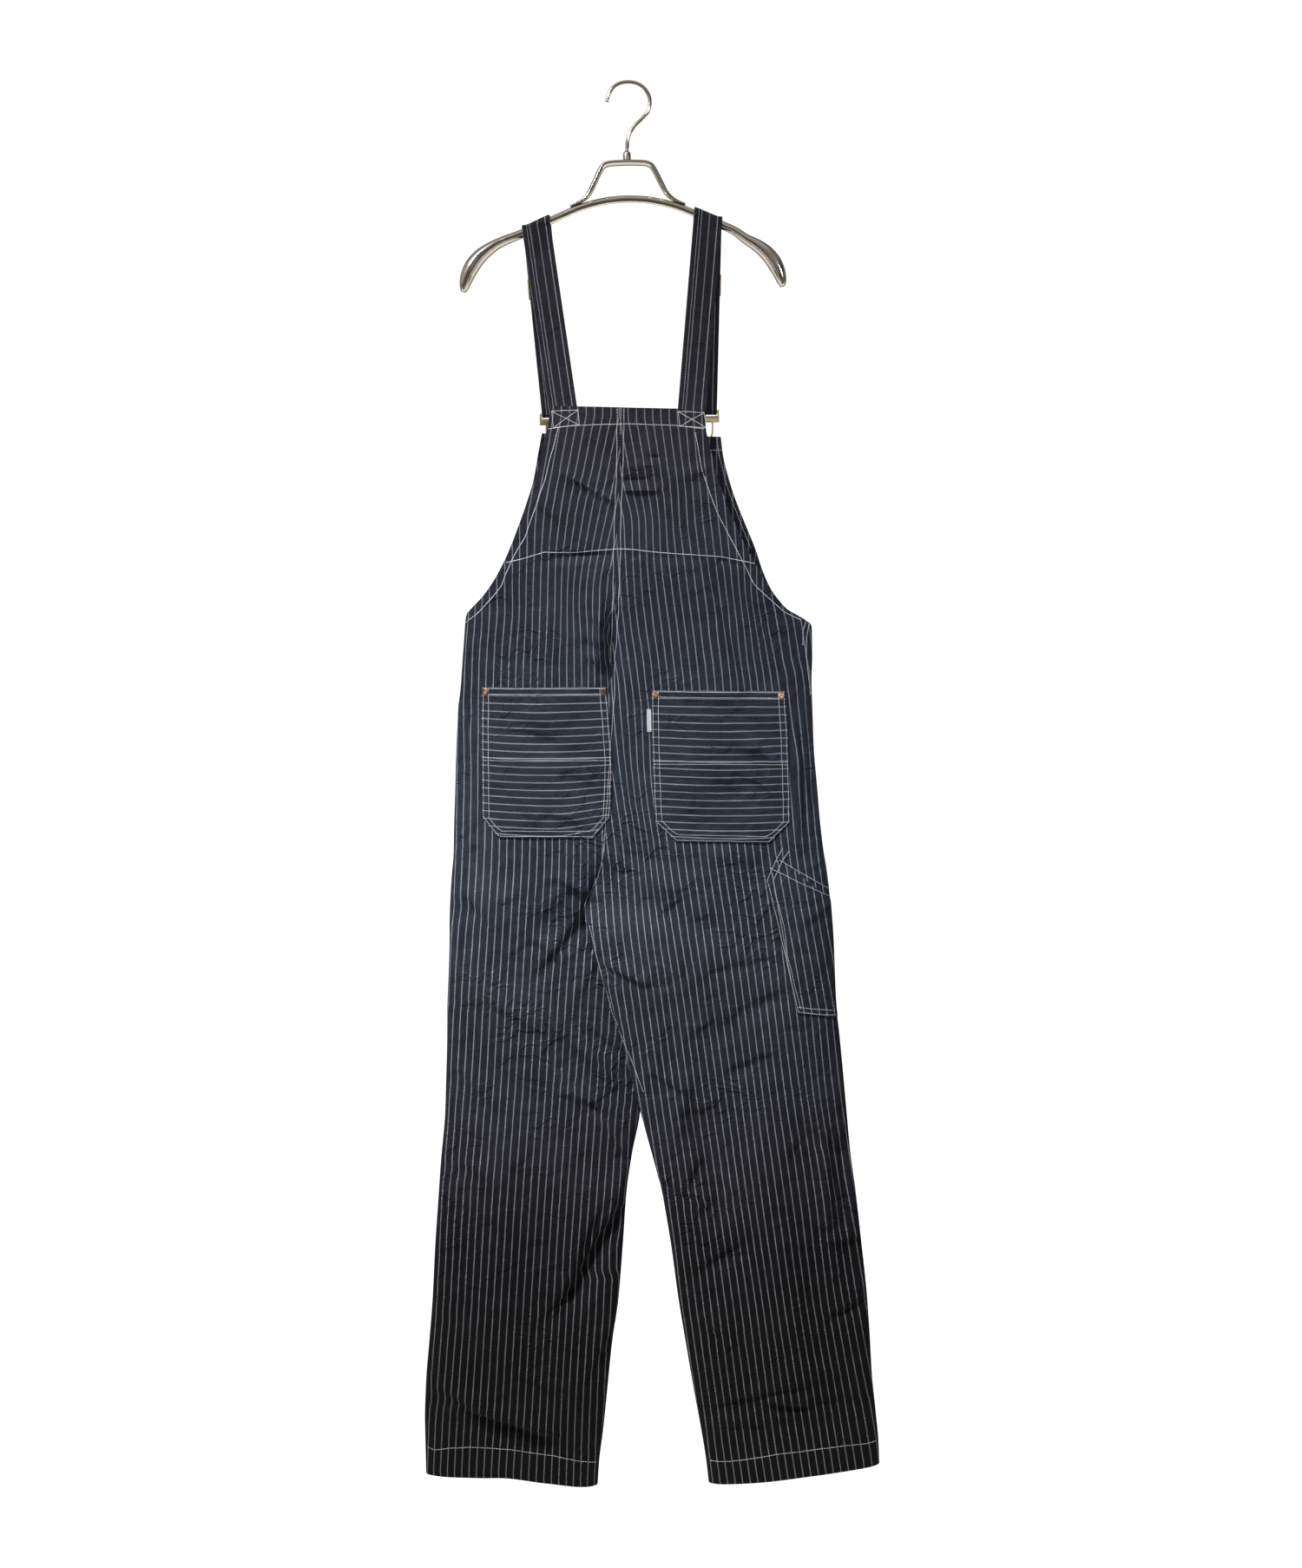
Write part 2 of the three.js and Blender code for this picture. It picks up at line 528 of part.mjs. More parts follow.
function hangerBar() {
  const rows = [];
  for (const side of ['left', 'right']) {
    const sign = side === 'left' ? -1 : 1;
    const end = BAR.at(-1).reach + ARM_EXTRA[side];
    const arm = BAR.filter((r) => r.reach > 0).map((r) => {
      const share = Math.max(0, r.reach - ARM_FIXED) / (BAR.at(-1).reach - ARM_FIXED);
      const pulled = ARM_EXTRA[side] * share;
      return { x: HANGER_X + sign * (r.reach + pulled), z: r.z, half: r.half, deep: r.deep };
    });
    const cap = CAP.map((r) => ({ x: HANGER_X + sign * (end + r.run), z: r.z, half: r.half, deep: r.deep }));
    const outwards = [...arm, ...cap];
    if (side === 'left') rows.push(...outwards.reverse(), { x: HANGER_X, ...BAR[0] });
    else rows.push(...outwards);
  }
  const path = rows.map((r) => new THREE.Vector3(r.x, 0, r.z));
  return sweep(path, new THREE.Vector3(0, 1, 0), (k) => rows[k].deep, (k) => rows[k].half, oval(12));
}

function hangerBridge() {
  const leftSide = BRIDGE.map((r) => ({ ...r, x: HANGER_X - r.out }));
  const rightSide = BRIDGE.slice(0, -1).reverse().map((r) => ({ ...r, x: HANGER_X + r.out }));
  const rows = [...leftSide, ...rightSide];
  const path = rows.map((r) => new THREE.Vector3(r.x, 0, r.z));
  return sweep(path, new THREE.Vector3(0, 1, 0), (k) => rows[k].deep, (k) => rows[k].half, ROUNDED);
}

function wireSection(radius, sides) {
  const shape = new THREE.Shape();
  oval(sides).forEach(([u, v], k) => {
    if (k === 0) shape.moveTo(u * radius, v * radius);
    else shape.lineTo(u * radius, v * radius);
  });
  shape.closePath();
  return shape;
}

function wire(points, radius, sides, steps) {
  const curve = new THREE.CatmullRomCurve3(points, false, 'centripetal');
  return new THREE.ExtrudeGeometry(wireSection(radius, sides), { steps, extrudePath: curve });
}

function turned(profile, sides) {
  return new THREE.LatheGeometry(profile.map(([r, h]) => new THREE.Vector2(r, h)), sides);
}

// Lathe pieces stand on Y; this stands one on Z
const upright = (geometry) => geometry.rotateX(Math.PI / 2);

// Path of a strap, from its sewn end to the end behind the slider
function strapPath(half) {
  const s = STRAPS[half];
  const ply = STRAP.thickness / 2;
  const bar = barAt(s.hangerX);
  const insideBack = (z) => {
    const lean = s.backX;
    const edges = [-1, 1].map((k) => onCloth('back', lean + k * (STRAP.width / 2 - 2), z, -WALL).point.y);
    return Math.max(...edges) + CLEAR + ply + FACET_EASE;
  };
  const points = [];
  const tilts = [];
  const add = (x, y, z, tilt) => {
    points.push(new THREE.Vector3(x, y, z));
    tilts.push(tilt);
  };
  const backLean = Math.atan2(s.backX - s.hangerX, bar.z - BACK_TOP_Z);
  const frontLean = Math.atan2(s.frontX - s.hangerX, bar.z - BUCKLE.railZ);
  const backXAt = (z) => s.hangerX + Math.tan(backLean) * (bar.z - z);
  const frontXAt = (z) => s.hangerX + Math.tan(frontLean) * (bar.z - z);
  const outboard = half === 'left' ? -1 : 1;
  const wrapY = barAt(s.hangerX + (outboard * STRAP.width) / 2).deep + CLEAR + ply + LOOP_EASE;
  const wrapZ = bar.half + CLEAR + ply + 2 * LOOP_EASE;
  for (const z of [STRAP_SEWN_Z, (STRAP_SEWN_Z + BACK_TOP_Z) / 2, BACK_TOP_Z]) {
    add(backXAt(z), insideBack(z), z, backLean);
  }
  const { run, over, loop } = STRAP_STEPS;
  for (let k = 1; k < run; k += 1) {
    const z = BACK_TOP_Z + ((bar.z - STRAP_OFF_BAR - BACK_TOP_Z) * k) / run;
    const y = insideBack(BACK_TOP_Z) + ((-wrapY - insideBack(BACK_TOP_Z)) * k) / run;
    add(backXAt(z), y, z, backLean);
  }
  for (let k = 0; k <= over; k += 1) {
    const a = Math.PI - (Math.PI * k) / over;
    add(s.hangerX, wrapY * Math.cos(a), bar.z + wrapZ * Math.sin(a), bar.slope);
  }
  const railOff = BUCKLE.plate / 2 + CLEAR + LOOP_EASE + ply;
  const nearY = BUCKLE.y - railOff;
  const farY = BUCKLE.y + railOff;
  const top = bar.z - STRAP_OFF_BAR;
  const untwist = (share) => frontLean * smoothstep(0.1, 0.6, share);
  for (let k = 1; k <= run; k += 1) {
    const z = top + ((BUCKLE.railZ - top) * k) / run;
    add(frontXAt(z), wrapY + ((nearY - wrapY) * k) / run, z, untwist(1 - k / run));
  }
  const turnDepth = BUCKLE.rail / 2 + CLEAR + LOOP_EASE + ply;
  for (let k = 1; k < loop; k += 1) {
    const a = (Math.PI * k) / loop;
    const y = (nearY + farY) / 2 - ((farY - nearY) / 2) * Math.cos(a);
    add(s.frontX, y, BUCKLE.railZ - turnDepth * Math.sin(a), 0);
  }
  const barOff = SLIDER.plate / 2 + CLEAR + LOOP_EASE + ply;
  const outY = SLIDER.y + barOff;
  const backY = SLIDER.y - barOff;
  for (let k = 0; k <= run; k += 1) {
    const z = BUCKLE.railZ + ((SLIDER.z - BUCKLE.railZ) * k) / run;
    add(frontXAt(z), farY + ((outY - farY) * k) / run, z, untwist(k / run));
  }
  const hoop = SLIDER.bar / 2 + CLEAR + LOOP_EASE + ply;
  for (let k = 1; k < loop; k += 1) {
    const a = (Math.PI * k) / loop;
    const y = (outY + backY) / 2 + ((outY - backY) / 2) * Math.cos(a);
    add(frontXAt(SLIDER.z), y, SLIDER.z + hoop * Math.sin(a), frontLean);
  }
  for (const z of [SLIDER.z, SLIDER.z - STRAP_TAIL]) add(frontXAt(z), backY, z, frontLean);
  return { points, tilts };
}

function strap(half) {
  const { points, tilts } = strapPath(half);
  const axis = (k) => new THREE.Vector3(Math.cos(tilts[k]), 0, Math.sin(tilts[k]));
  return sweep(points, axis, () => STRAP.width / 2, () => STRAP.thickness / 2, FLAT);
}

function rectangle(width, height, cx = 0, cy = 0) {
  const path = new THREE.Path();
  path.moveTo(cx - width / 2, cy - height / 2);
  path.lineTo(cx + width / 2, cy - height / 2);
  path.lineTo(cx + width / 2, cy + height / 2);
  path.lineTo(cx - width / 2, cy + height / 2);
  path.closePath();
  return path;
}

// Plate with slots, standing in the XZ plane with its middle at y
function slottedPlate(width, height, slots, thickness, y) {
  const shape = new THREE.Shape(rectangle(width, height).getPoints());
  slots.forEach((slot) => shape.holes.push(slot));
  const geometry = new THREE.ExtrudeGeometry(shape, { depth: thickness, bevelEnabled: false });
  geometry.translate(0, 0, -thickness / 2);
  geometry.rotateX(Math.PI / 2);
  geometry.translate(0, y, 0);
  return geometry;
}

function toManifold(geometry) {
  const bare = new THREE.BufferGeometry();
  bare.setAttribute('position', geometry.getAttribute('position'));
  if (geometry.index) bare.setIndex(geometry.index);
  const merged = mergeVertices(bare, 1e-4);
  return new wasm.Manifold(new wasm.Mesh({
    numProp: 3,
    vertProperties: Float32Array.from(merged.getAttribute('position').array),
    triVerts: Uint32Array.from(merged.index.array),
  }));
}

function fromManifold(solid) {
  const mesh = solid.getMesh();
  const geometry = new THREE.BufferGeometry();
  geometry.setAttribute('position', new THREE.BufferAttribute(mesh.vertProperties, 3));
  geometry.setIndex(new THREE.BufferAttribute(mesh.triVerts, 1));
  return geometry;
}

// Buckle: rail in the strap's loop, plate below it and the wire that holds the bib button
function buckle(half) {
  const x = STRAPS[half].frontX;
  const top = BUCKLE.railZ + BUCKLE.rail / 2;
  const height = top - BUCKLE.foot;
  const middle = (top + BUCKLE.foot) / 2;
  const slotZ = BUCKLE.railZ - BUCKLE.rail / 2 - BUCKLE.slot / 2 - middle;
  const plate = slottedPlate(BUCKLE.width, height, [rectangle(BUCKLE.slotWidth, BUCKLE.slot, 0, slotZ)],
    BUCKLE.plate, BUCKLE.y);
  plate.translate(x, 0, middle);
  const side = BUCKLE_WIRE.map((r) => [r.spread, r.z]);
  const arc = [40, 90, 140].map((a) => {
    const turn = (a * Math.PI) / 180;
    return [BUCKLE.neck * Math.cos(turn), BUCKLE.buttonZ - BUCKLE.neck * Math.sin(turn)];
  });
  const outline = [...side, ...arc, ...side.slice().reverse().map(([u, v]) => [-u, v])];
  const loop = wire(outline.map(([u, v]) => new THREE.Vector3(x + u, BUCKLE.y, v)), BUCKLE.wire, 8, 34);
  return fromManifold(toManifold(plate).add(toManifold(loop)));
}

function slider(half) {
  const s = STRAPS[half];
  const bar = barAt(s.hangerX);
  const k = (bar.z - SLIDER.z) / (bar.z - BUCKLE.railZ);
  const x = s.hangerX + (s.frontX - s.hangerX) * k;
  const opening = (SLIDER.height - 2 * SLIDER.rail - SLIDER.bar) / 2;
  const slotZ = (SLIDER.bar + opening) / 2;
  const slots = [slotZ, -slotZ].map((offset) => rectangle(SLIDER.slotWidth, opening, 0, offset));
  const plate = slottedPlate(SLIDER.width, SLIDER.height, slots, SLIDER.plate, SLIDER.y);
  plate.rotateY(-Math.atan2(s.frontX - s.hangerX, bar.z - BUCKLE.railZ));
  return plate.translate(x, 0, SLIDER.z);
}

// Button: shank next to the cloth, then the cap
function buttonProfile(b) {
  const top = b.shankHeight + b.capHeight;
  return [[0, 0], [b.shank, 0], [b.shank, b.shankHeight], [b.cap, b.shankHeight],
    [b.cap, top - b.edge], [b.cap - b.edge, top], [0, top]];
}

const rivetProfile = [[0, 0], [RIVET.radius, 0], [RIVET.radius, RIVET.rim], [RIVET.radius - 1, RIVET.height],
  [RIVET.nib, RIVET.height], [RIVET.nib, RIVET.nibHeight], [0, RIVET.nibHeight]];

// A lathe piece seated on a piece of cloth, with its axis along the cloth's normal
function seated(profile, sides, cloth, face, x, z, out) {
  const ahead = face === 'back' ? 1 : -1;
  const start = new THREE.Vector3(x, -ahead * PRISM_DEPTH, z);
  const ray = new THREE.Raycaster(start, new THREE.Vector3(0, ahead, 0));
  const mesh = new THREE.Mesh(cloth, new THREE.MeshBasicMaterial({ side: THREE.DoubleSide }));
  const { point, face: facet } = ray.intersectObject(mesh)[0];
  const normal = facet.normal.clone();
  if (normal.y * ahead > 0) normal.negate();
  const geometry = turned(profile, sides);
  geometry.applyQuaternion(new THREE.Quaternion().setFromUnitVectors(new THREE.Vector3(0, 1, 0), normal));
  point.addScaledVector(normal, out);
  return geometry.translate(point.x, point.y, point.z);
}

const dungarees = new THREE.Group();

function place(name, geometry, paint) {
  const mesh = new THREE.Mesh(geometry, new THREE.MeshStandardMaterial(PAINT[paint]));
  mesh.name = name;
  dungarees.add(mesh);
}

const frontBib = bibPanel(BIB_TOP_Z, WAIST_Z);
place('front_bib', frontBib, 'cloth');
for (const half of ['left', 'right']) {
  const pocket = patch(half, SEAT_POCKETS[half], POCKET_PLY);
  place(`back_${half}`, halfPanel('back', half, BACK_TOP_Z), 'cloth');
  place(`front_${half}`, halfPanel('front', half, WAIST_Z - SEAM_GAP), 'cloth');
  place(`pocket_${half}`, pocket, 'cloth');
  place(`strap_${half}`, strap(half), 'cloth');
  place(`slider_${half}`, slider(half), 'gilt');
  place(`buckle_${half}`, buckle(half), 'gilt');
  place(`bib_button_${half}`, seated(buttonProfile(BUTTON), 16, frontBib, 'front', STRAPS[half].frontX,
    BUCKLE.buttonZ, CLEAR), 'gilt');
  const inset = half === 'left' ? SIDE_BUTTON_INSET : -SIDE_BUTTON_INSET;
  SIDE_BUTTON_Z.forEach((z, k) => {
    place(`side_button_${half}_${k + 1}`, seated(buttonProfile(SIDE_BUTTON), 12, frontBib, 'front',
      outerEdge('front', half, z) + inset, z, CLEAR), 'gilt');
  });
  RIVET_PLACES[half].forEach(({ x, z }, k) => {
    place(`rivet_${half}_${k + 1}`, seated(rivetProfile, 12, pocket, 'back', x, z, CLEAR), 'copper');
  });
}
place('tool_pocket', patch('right', TOOL_POCKET, POCKET_PLY), 'cloth');
place('pocket_tab', patch('right', TAB, POCKET_PLY), 'cloth');
place('hanger_bar', hangerBar(), 'chrome');
place('hanger_bridge', hangerBridge(), 'chrome');
place('hook', wire(HOOK.map(([x, z]) => new THREE.Vector3(x, 0, z)), HOOK_WIRE, 8, 40), 'chrome');
place('ferrule', upright(turned(FERRULE.map(([r, z]) => [r, z]), 16)).translate(HANGER_X, 0, 0), 'chrome');

export default dungarees;
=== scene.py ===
# %% [markdown]
# # Striped dungarees on a hanger
# This script dresses the plain CAD solids of a pair of bib dungarees that hang from a metal hanger, with
# their back to the camera. Cloth pieces are built again as thin sheets with their stripes, creases and
# stitches. The hanger and the small metal pieces get rounder forms. Everything stays in the frame of the
# solids: metres, +Z up, the origin at the inner top of the hook.
# Cloth simulation was the other way to hang the garment. Sheets from measured sections keep the seams where
# they are, so the pockets and stitches can be set on them by the same sizes.

# %% Load the frame
import math

import bmesh
import bpy
import numpy as np
from mathutils import Matrix, Vector
from mathutils.bvhtree import BVHTree


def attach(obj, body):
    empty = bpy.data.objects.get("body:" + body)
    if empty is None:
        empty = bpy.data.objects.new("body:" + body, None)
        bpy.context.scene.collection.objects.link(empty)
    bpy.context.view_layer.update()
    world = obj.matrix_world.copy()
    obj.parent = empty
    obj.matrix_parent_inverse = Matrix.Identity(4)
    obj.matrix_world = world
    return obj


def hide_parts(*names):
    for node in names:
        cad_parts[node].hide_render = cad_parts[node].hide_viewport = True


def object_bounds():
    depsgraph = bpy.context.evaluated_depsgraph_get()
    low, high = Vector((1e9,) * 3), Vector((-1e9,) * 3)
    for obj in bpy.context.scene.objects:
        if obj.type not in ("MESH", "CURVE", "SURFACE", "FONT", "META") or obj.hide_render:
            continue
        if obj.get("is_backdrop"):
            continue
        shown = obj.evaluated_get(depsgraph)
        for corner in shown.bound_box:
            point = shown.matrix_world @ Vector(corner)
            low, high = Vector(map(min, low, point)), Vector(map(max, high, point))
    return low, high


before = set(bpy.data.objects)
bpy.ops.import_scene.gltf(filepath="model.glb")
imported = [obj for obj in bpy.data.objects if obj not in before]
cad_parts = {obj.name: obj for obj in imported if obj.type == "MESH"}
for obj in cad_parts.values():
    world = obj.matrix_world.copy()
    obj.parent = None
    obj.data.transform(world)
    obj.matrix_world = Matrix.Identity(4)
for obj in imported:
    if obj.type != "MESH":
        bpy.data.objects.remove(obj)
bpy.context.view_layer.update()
MM = 0.001

# %% [markdown]
# ## The size tables
# A garment is drafted from a few measurements taken at marked heights, and this one is drafted the same
# way. Each table has named columns and a row for each height, in millimetres from the inner top of the
# hook. Left and right are the wearer's, and the back faces -Y, towards the camera.
# The numbers could be sculpted by eye instead, but with a table every later piece, such as a pocket, a seam
# or a row of stitches, can ask the same cloth where it lies.

# %% Size tables
def table(names, rows):
    """Named columns from rows of numbers."""
    return dict(zip(names.split(), np.array(rows, float).T))


CROTCH = -1034.0
SEAT_RISE = 150.0
WAIST = -740.0
HEM = -1835.0
BACK_TOP = -392.0
BIB_TOP = -425.0
UNDERARM = {"left": -650.0, "right": -664.0}
ARMHOLE_RISE = 70.0
ARMHOLE_OPEN = 0.5
FULLNESS = 2.4

BODY = table("z left seam right back front", [
    (-392, -109, -20, 86, 8, 9), (-415, -113, -21, 87, 9, 9), (-440, -119, -22, 92, 9.5, 10),
    (-470, -127, -23, 99, 10.5, 11), (-500, -138, -25, 108, 12, 12), (-535, -152, -27, 121, 14, 13),
    (-570, -167, -29, 137, 15, 15), (-600, -183, -31, 153, 17, 16), (-625, -201, -32, 166, 18, 17),
    (-640, -216, -33, 179, 18.5, 18), (-650, -225, -34, 189, 19, 18.5), (-662, -227, -35, 210, 19.5, 19),
    (-672, -228, -36, 221, 20, 19), (-710, -232, -38, 221.5, 21, 20), (-740, -235, -40, 220.5, 22, 20),
    (-780, -240, -42.5, 221.5, 23, 20), (-830, -244, -43.5, 223, 24, 20), (-880, -247, -46, 227, 24, 20),
    (-930, -250, -50, 231, 24, 20), (-965, -252, -54.5, 235, 23, 20), (-990, -255, -62, 239, 22, 20),
    (-1010, -257, -71.5, 241.5, 22, 20), (-1034, -259, -81, 244, 21, 20)])
LEGS = table("z left left_inner right_inner right back front", [
    (-1034, -259, -81, -81, 244, 21, 20), (-1052, -260, -80, -80.5, 245.5, 20.5, 20),
    (-1080, -261, -67, -73, 247.5, 20, 20), (-1120, -263.5, -49, -63, 249, 20, 19),
    (-1170, -267, -31, -47.5, 251, 19.5, 19), (-1220, -269, -18, -34, 256, 19, 19),
    (-1270, -272, -11, -23, 260.5, 19, 18), (-1317, -275, -12.5, -12, 264.5, 19, 18),
    (-1380, -282.5, -25, 3, 270, 18, 18), (-1430, -287.5, -33, 14.5, 276.5, 18, 18),
    (-1500, -294.5, -39, 25, 284, 18, 18), (-1580, -301, -47, 34.5, 292, 18, 18),
    (-1640, -307.5, -57, 43.5, 296, 18, 18), (-1700, -314, -64.5, 53, 299, 18, 18),
    (-1760, -317.5, -72, 63, 304.5, 18, 18), (-1800, -318, -78, 69, 308, 19, 18),
    (-1835, -318.5, -81, 72.5, 309.5, 19, 18)])
LEG_CROSSING = table("z lift", [(-1034, 0), (-1075, 10), (-1200, 11), (-1317, 9), (-1420, 0)])
FRONT_EDGES = table("z left right", [
    (-425, -122, 106.5), (-450, -127.5, 109.5), (-485, -135, 118), (-510, -144, 126), (-535, -153, 135.5),
    (-572, -168.5, 150), (-600, -184, 159), (-625, -202, 170), (-640, -217, 181), (-650, -225, 190),
    (-662, -227, 210), (-672, -228, 221)])
HEM_LINE = table("x drop", [
    (-318, -5), (-222, -5), (-150, 5), (-81, 16), (72, 15), (148, 9), (220, 0), (310, -8)])
TOP_TILT = 7.5 / 195
TOP_TILT_X = -12.0
print("body rows", len(BODY["z"]), "leg rows", len(LEGS["z"]))

# %% [markdown]
# Folds and creases have a table of their own. Cloth that hangs from two straps pulls into long soft troughs
# and low ridges, which start at a seam or a pocket and die out in the panel. Each row is a line from one
# end to the other, with a half width and a height out of the cloth, below zero where it sinks in. The
# widest ones come first and the sharp little creases last. A cloth simulation could make folds too, but not
# these ones in these places.

# %% Folds and creases
FOLDS = {
    "back": table("x0 z0 x1 z1 width height", [
        (-54, -610, -47, -700, 16, 3.7), (-42, -655, -40, -745, 9, -4.5), (90, -596, 139, -748, 12, -5),
        (158, -665, 196, -740, 15, -3.5), (190, -745, 216, -960, 12, -4), (-236, -790, -226, -930, 14, -4),
        (-75, -1000, -150, -1075, 20, -1.6), (-40, -985, 60, -1060, 20, -1.5),
        (10, -1050, 95, -1180, 26, 4), (-118, -1215, -60, -1275, 16, -2.4),
        (-36, -1450, -110, -1580, 18, -4), (60, -1320, 88, -1440, 18, -4),
        (246, -1320, 262, -1540, 16, -4), (-262, -1740, -120, -1786, 16, -3.5),
        (120, -1742, 260, -1738, 16, -3.5),
        (-200, -1400, -190, -1700, 30, 3), (170, -1380, 200, -1700, 30, 3)]),
    "front": table("x0 z0 x1 z1 width height", [
        (-60, -990, -170, -1060, 22, -4), (-30, -990, 90, -1075, 24, -4), (-60, -1440, -140, -1560, 20, -4),
        (50, -1400, 120, -1520, 20, -4), (-200, -1300, -210, -1700, 30, 3), (160, -1300, 200, -1700, 30, 3),
        (-180, -760, -200, -960, 20, -3), (150, -760, 190, -960, 20, -3)]),
}

# %% [markdown]
# ## The cloth as a surface
# A hanging leg or body is a flat tube. Its section is close to a flattened oval, so one formula gives the
# depth of the cloth at any place across it, and the tables give the width and depth at each height. The
# same functions later seat the pockets and every stitch. Sculpting a mesh would be freer, but then nothing
# else would know where the cloth is.

# %% Smooth curves through the tables
def smoothstep(a, b, v):
    k = np.clip((v - a) / (b - a), 0, 1)
    return k * k * (3 - 2 * k)


def look_up(rows, key, name, at):
    """A column of a table at places along its key, on a curve that never overshoots a row."""
    order = np.argsort(rows[key])
    k, v = rows[key][order], rows[name][order]
    slope = np.diff(v) / np.diff(k)
    tangent = np.concatenate([slope[:1], np.zeros(len(k) - 2), slope[-1:]])
    before, after = slope[:-1], slope[1:]
    same = before * after > 0
    tangent[1:-1][same] = 2 * before[same] * after[same] / (before + after)[same]
    at = np.clip(at, k[0], k[-1])
    i = np.clip(np.searchsorted(k, at) - 1, 0, len(k) - 2)
    span = k[i + 1] - k[i]
    t = (at - k[i]) / span
    t2, t3 = t * t, t * t * t
    return ((2 * t3 - 3 * t2 + 1) * v[i] + (t3 - 2 * t2 + t) * span * tangent[i]
            + (3 * t2 - 2 * t3) * v[i + 1] + (t3 - t2) * span * tangent[i + 1])


def column(name, z):
    """A measurement of the body above the crotch and of the legs below it."""
    z = np.asarray(z, float)
    leg_name = {"seam": "left_inner"}.get(name, name)
    body_name = {"left_inner": "seam", "right_inner": "seam"}.get(name, name)
    return np.where(z > CROTCH, look_up(BODY, "z", body_name, z), look_up(LEGS, "z", leg_name, z))


def outer_edge(face, half, z):
    edge = column(half, z)
    if face == "back":
        return edge
    return np.where(z > FRONT_EDGES["z"][-1], look_up(FRONT_EDGES, "z", half, z), edge)


def inner_edge(half, z):
    return column(f"{half}_inner", z)


def oval_span(half, z):
    """The part of the oval that a half takes, from -1 at the side seam to 1 at the inseam."""
    start = -1 + ARMHOLE_OPEN * smoothstep(UNDERARM[half], UNDERARM[half] + ARMHOLE_RISE, z)
    end = 1 - smoothstep(CROTCH, CROTCH + SEAT_RISE, z)
    return start, end


def edge_drop(x, z):
    """How far the cloth's ends lie below their nominal rows."""
    hem = look_up(HEM_LINE, "x", "drop", x) * smoothstep(-1500, HEM, z)
    return hem + TOP_TILT * (x - TOP_TILT_X) * smoothstep(-600, BACK_TOP, z)


STEEP, GENTLE, LOW_END = 0.6, 1.7, 0.5
UPHILL = (-0.6, 0.8)


def line_height(rows, x, z):
    """Sum of the folds of a table at places in the picture plane, each with a steep and a gentle side and low ends."""
    total = np.zeros(np.broadcast(x, z).shape)
    for x0, z0, x1, z1, width, height in zip(*(rows[n] for n in "x0 z0 x1 z1 width height".split())):
        dx, dz = x1 - x0, z1 - z0
        k = np.clip(((x - x0) * dx + (z - z0) * dz) / (dx * dx + dz * dz), 0, 1)
        aside, above = x - x0 - k * dx, z - z0 - k * dz
        steep = (aside * UPHILL[0] + above * UPHILL[1]) * height < 0
        along = LOW_END + (1 - LOW_END) * np.sin(np.pi * k)
        away = np.hypot(aside, above) / (width * np.where(steep, STEEP, GENTLE))
        total += height * along * np.exp(-(away ** 2))
    return total

# %% [markdown]
# ## Stripes that follow the cut
# The cloth is woven with a thin pale stripe every 10 mm. The panels are cut on a slant here and there, so
# the stripes lean and close up towards the seams. A few stripes of each half are followed down the garment
# as guides, and every other stripe lies between them or one pitch further out, measured along the cloth. A
# picture could be projected from the front instead, but it would smear round the sides.

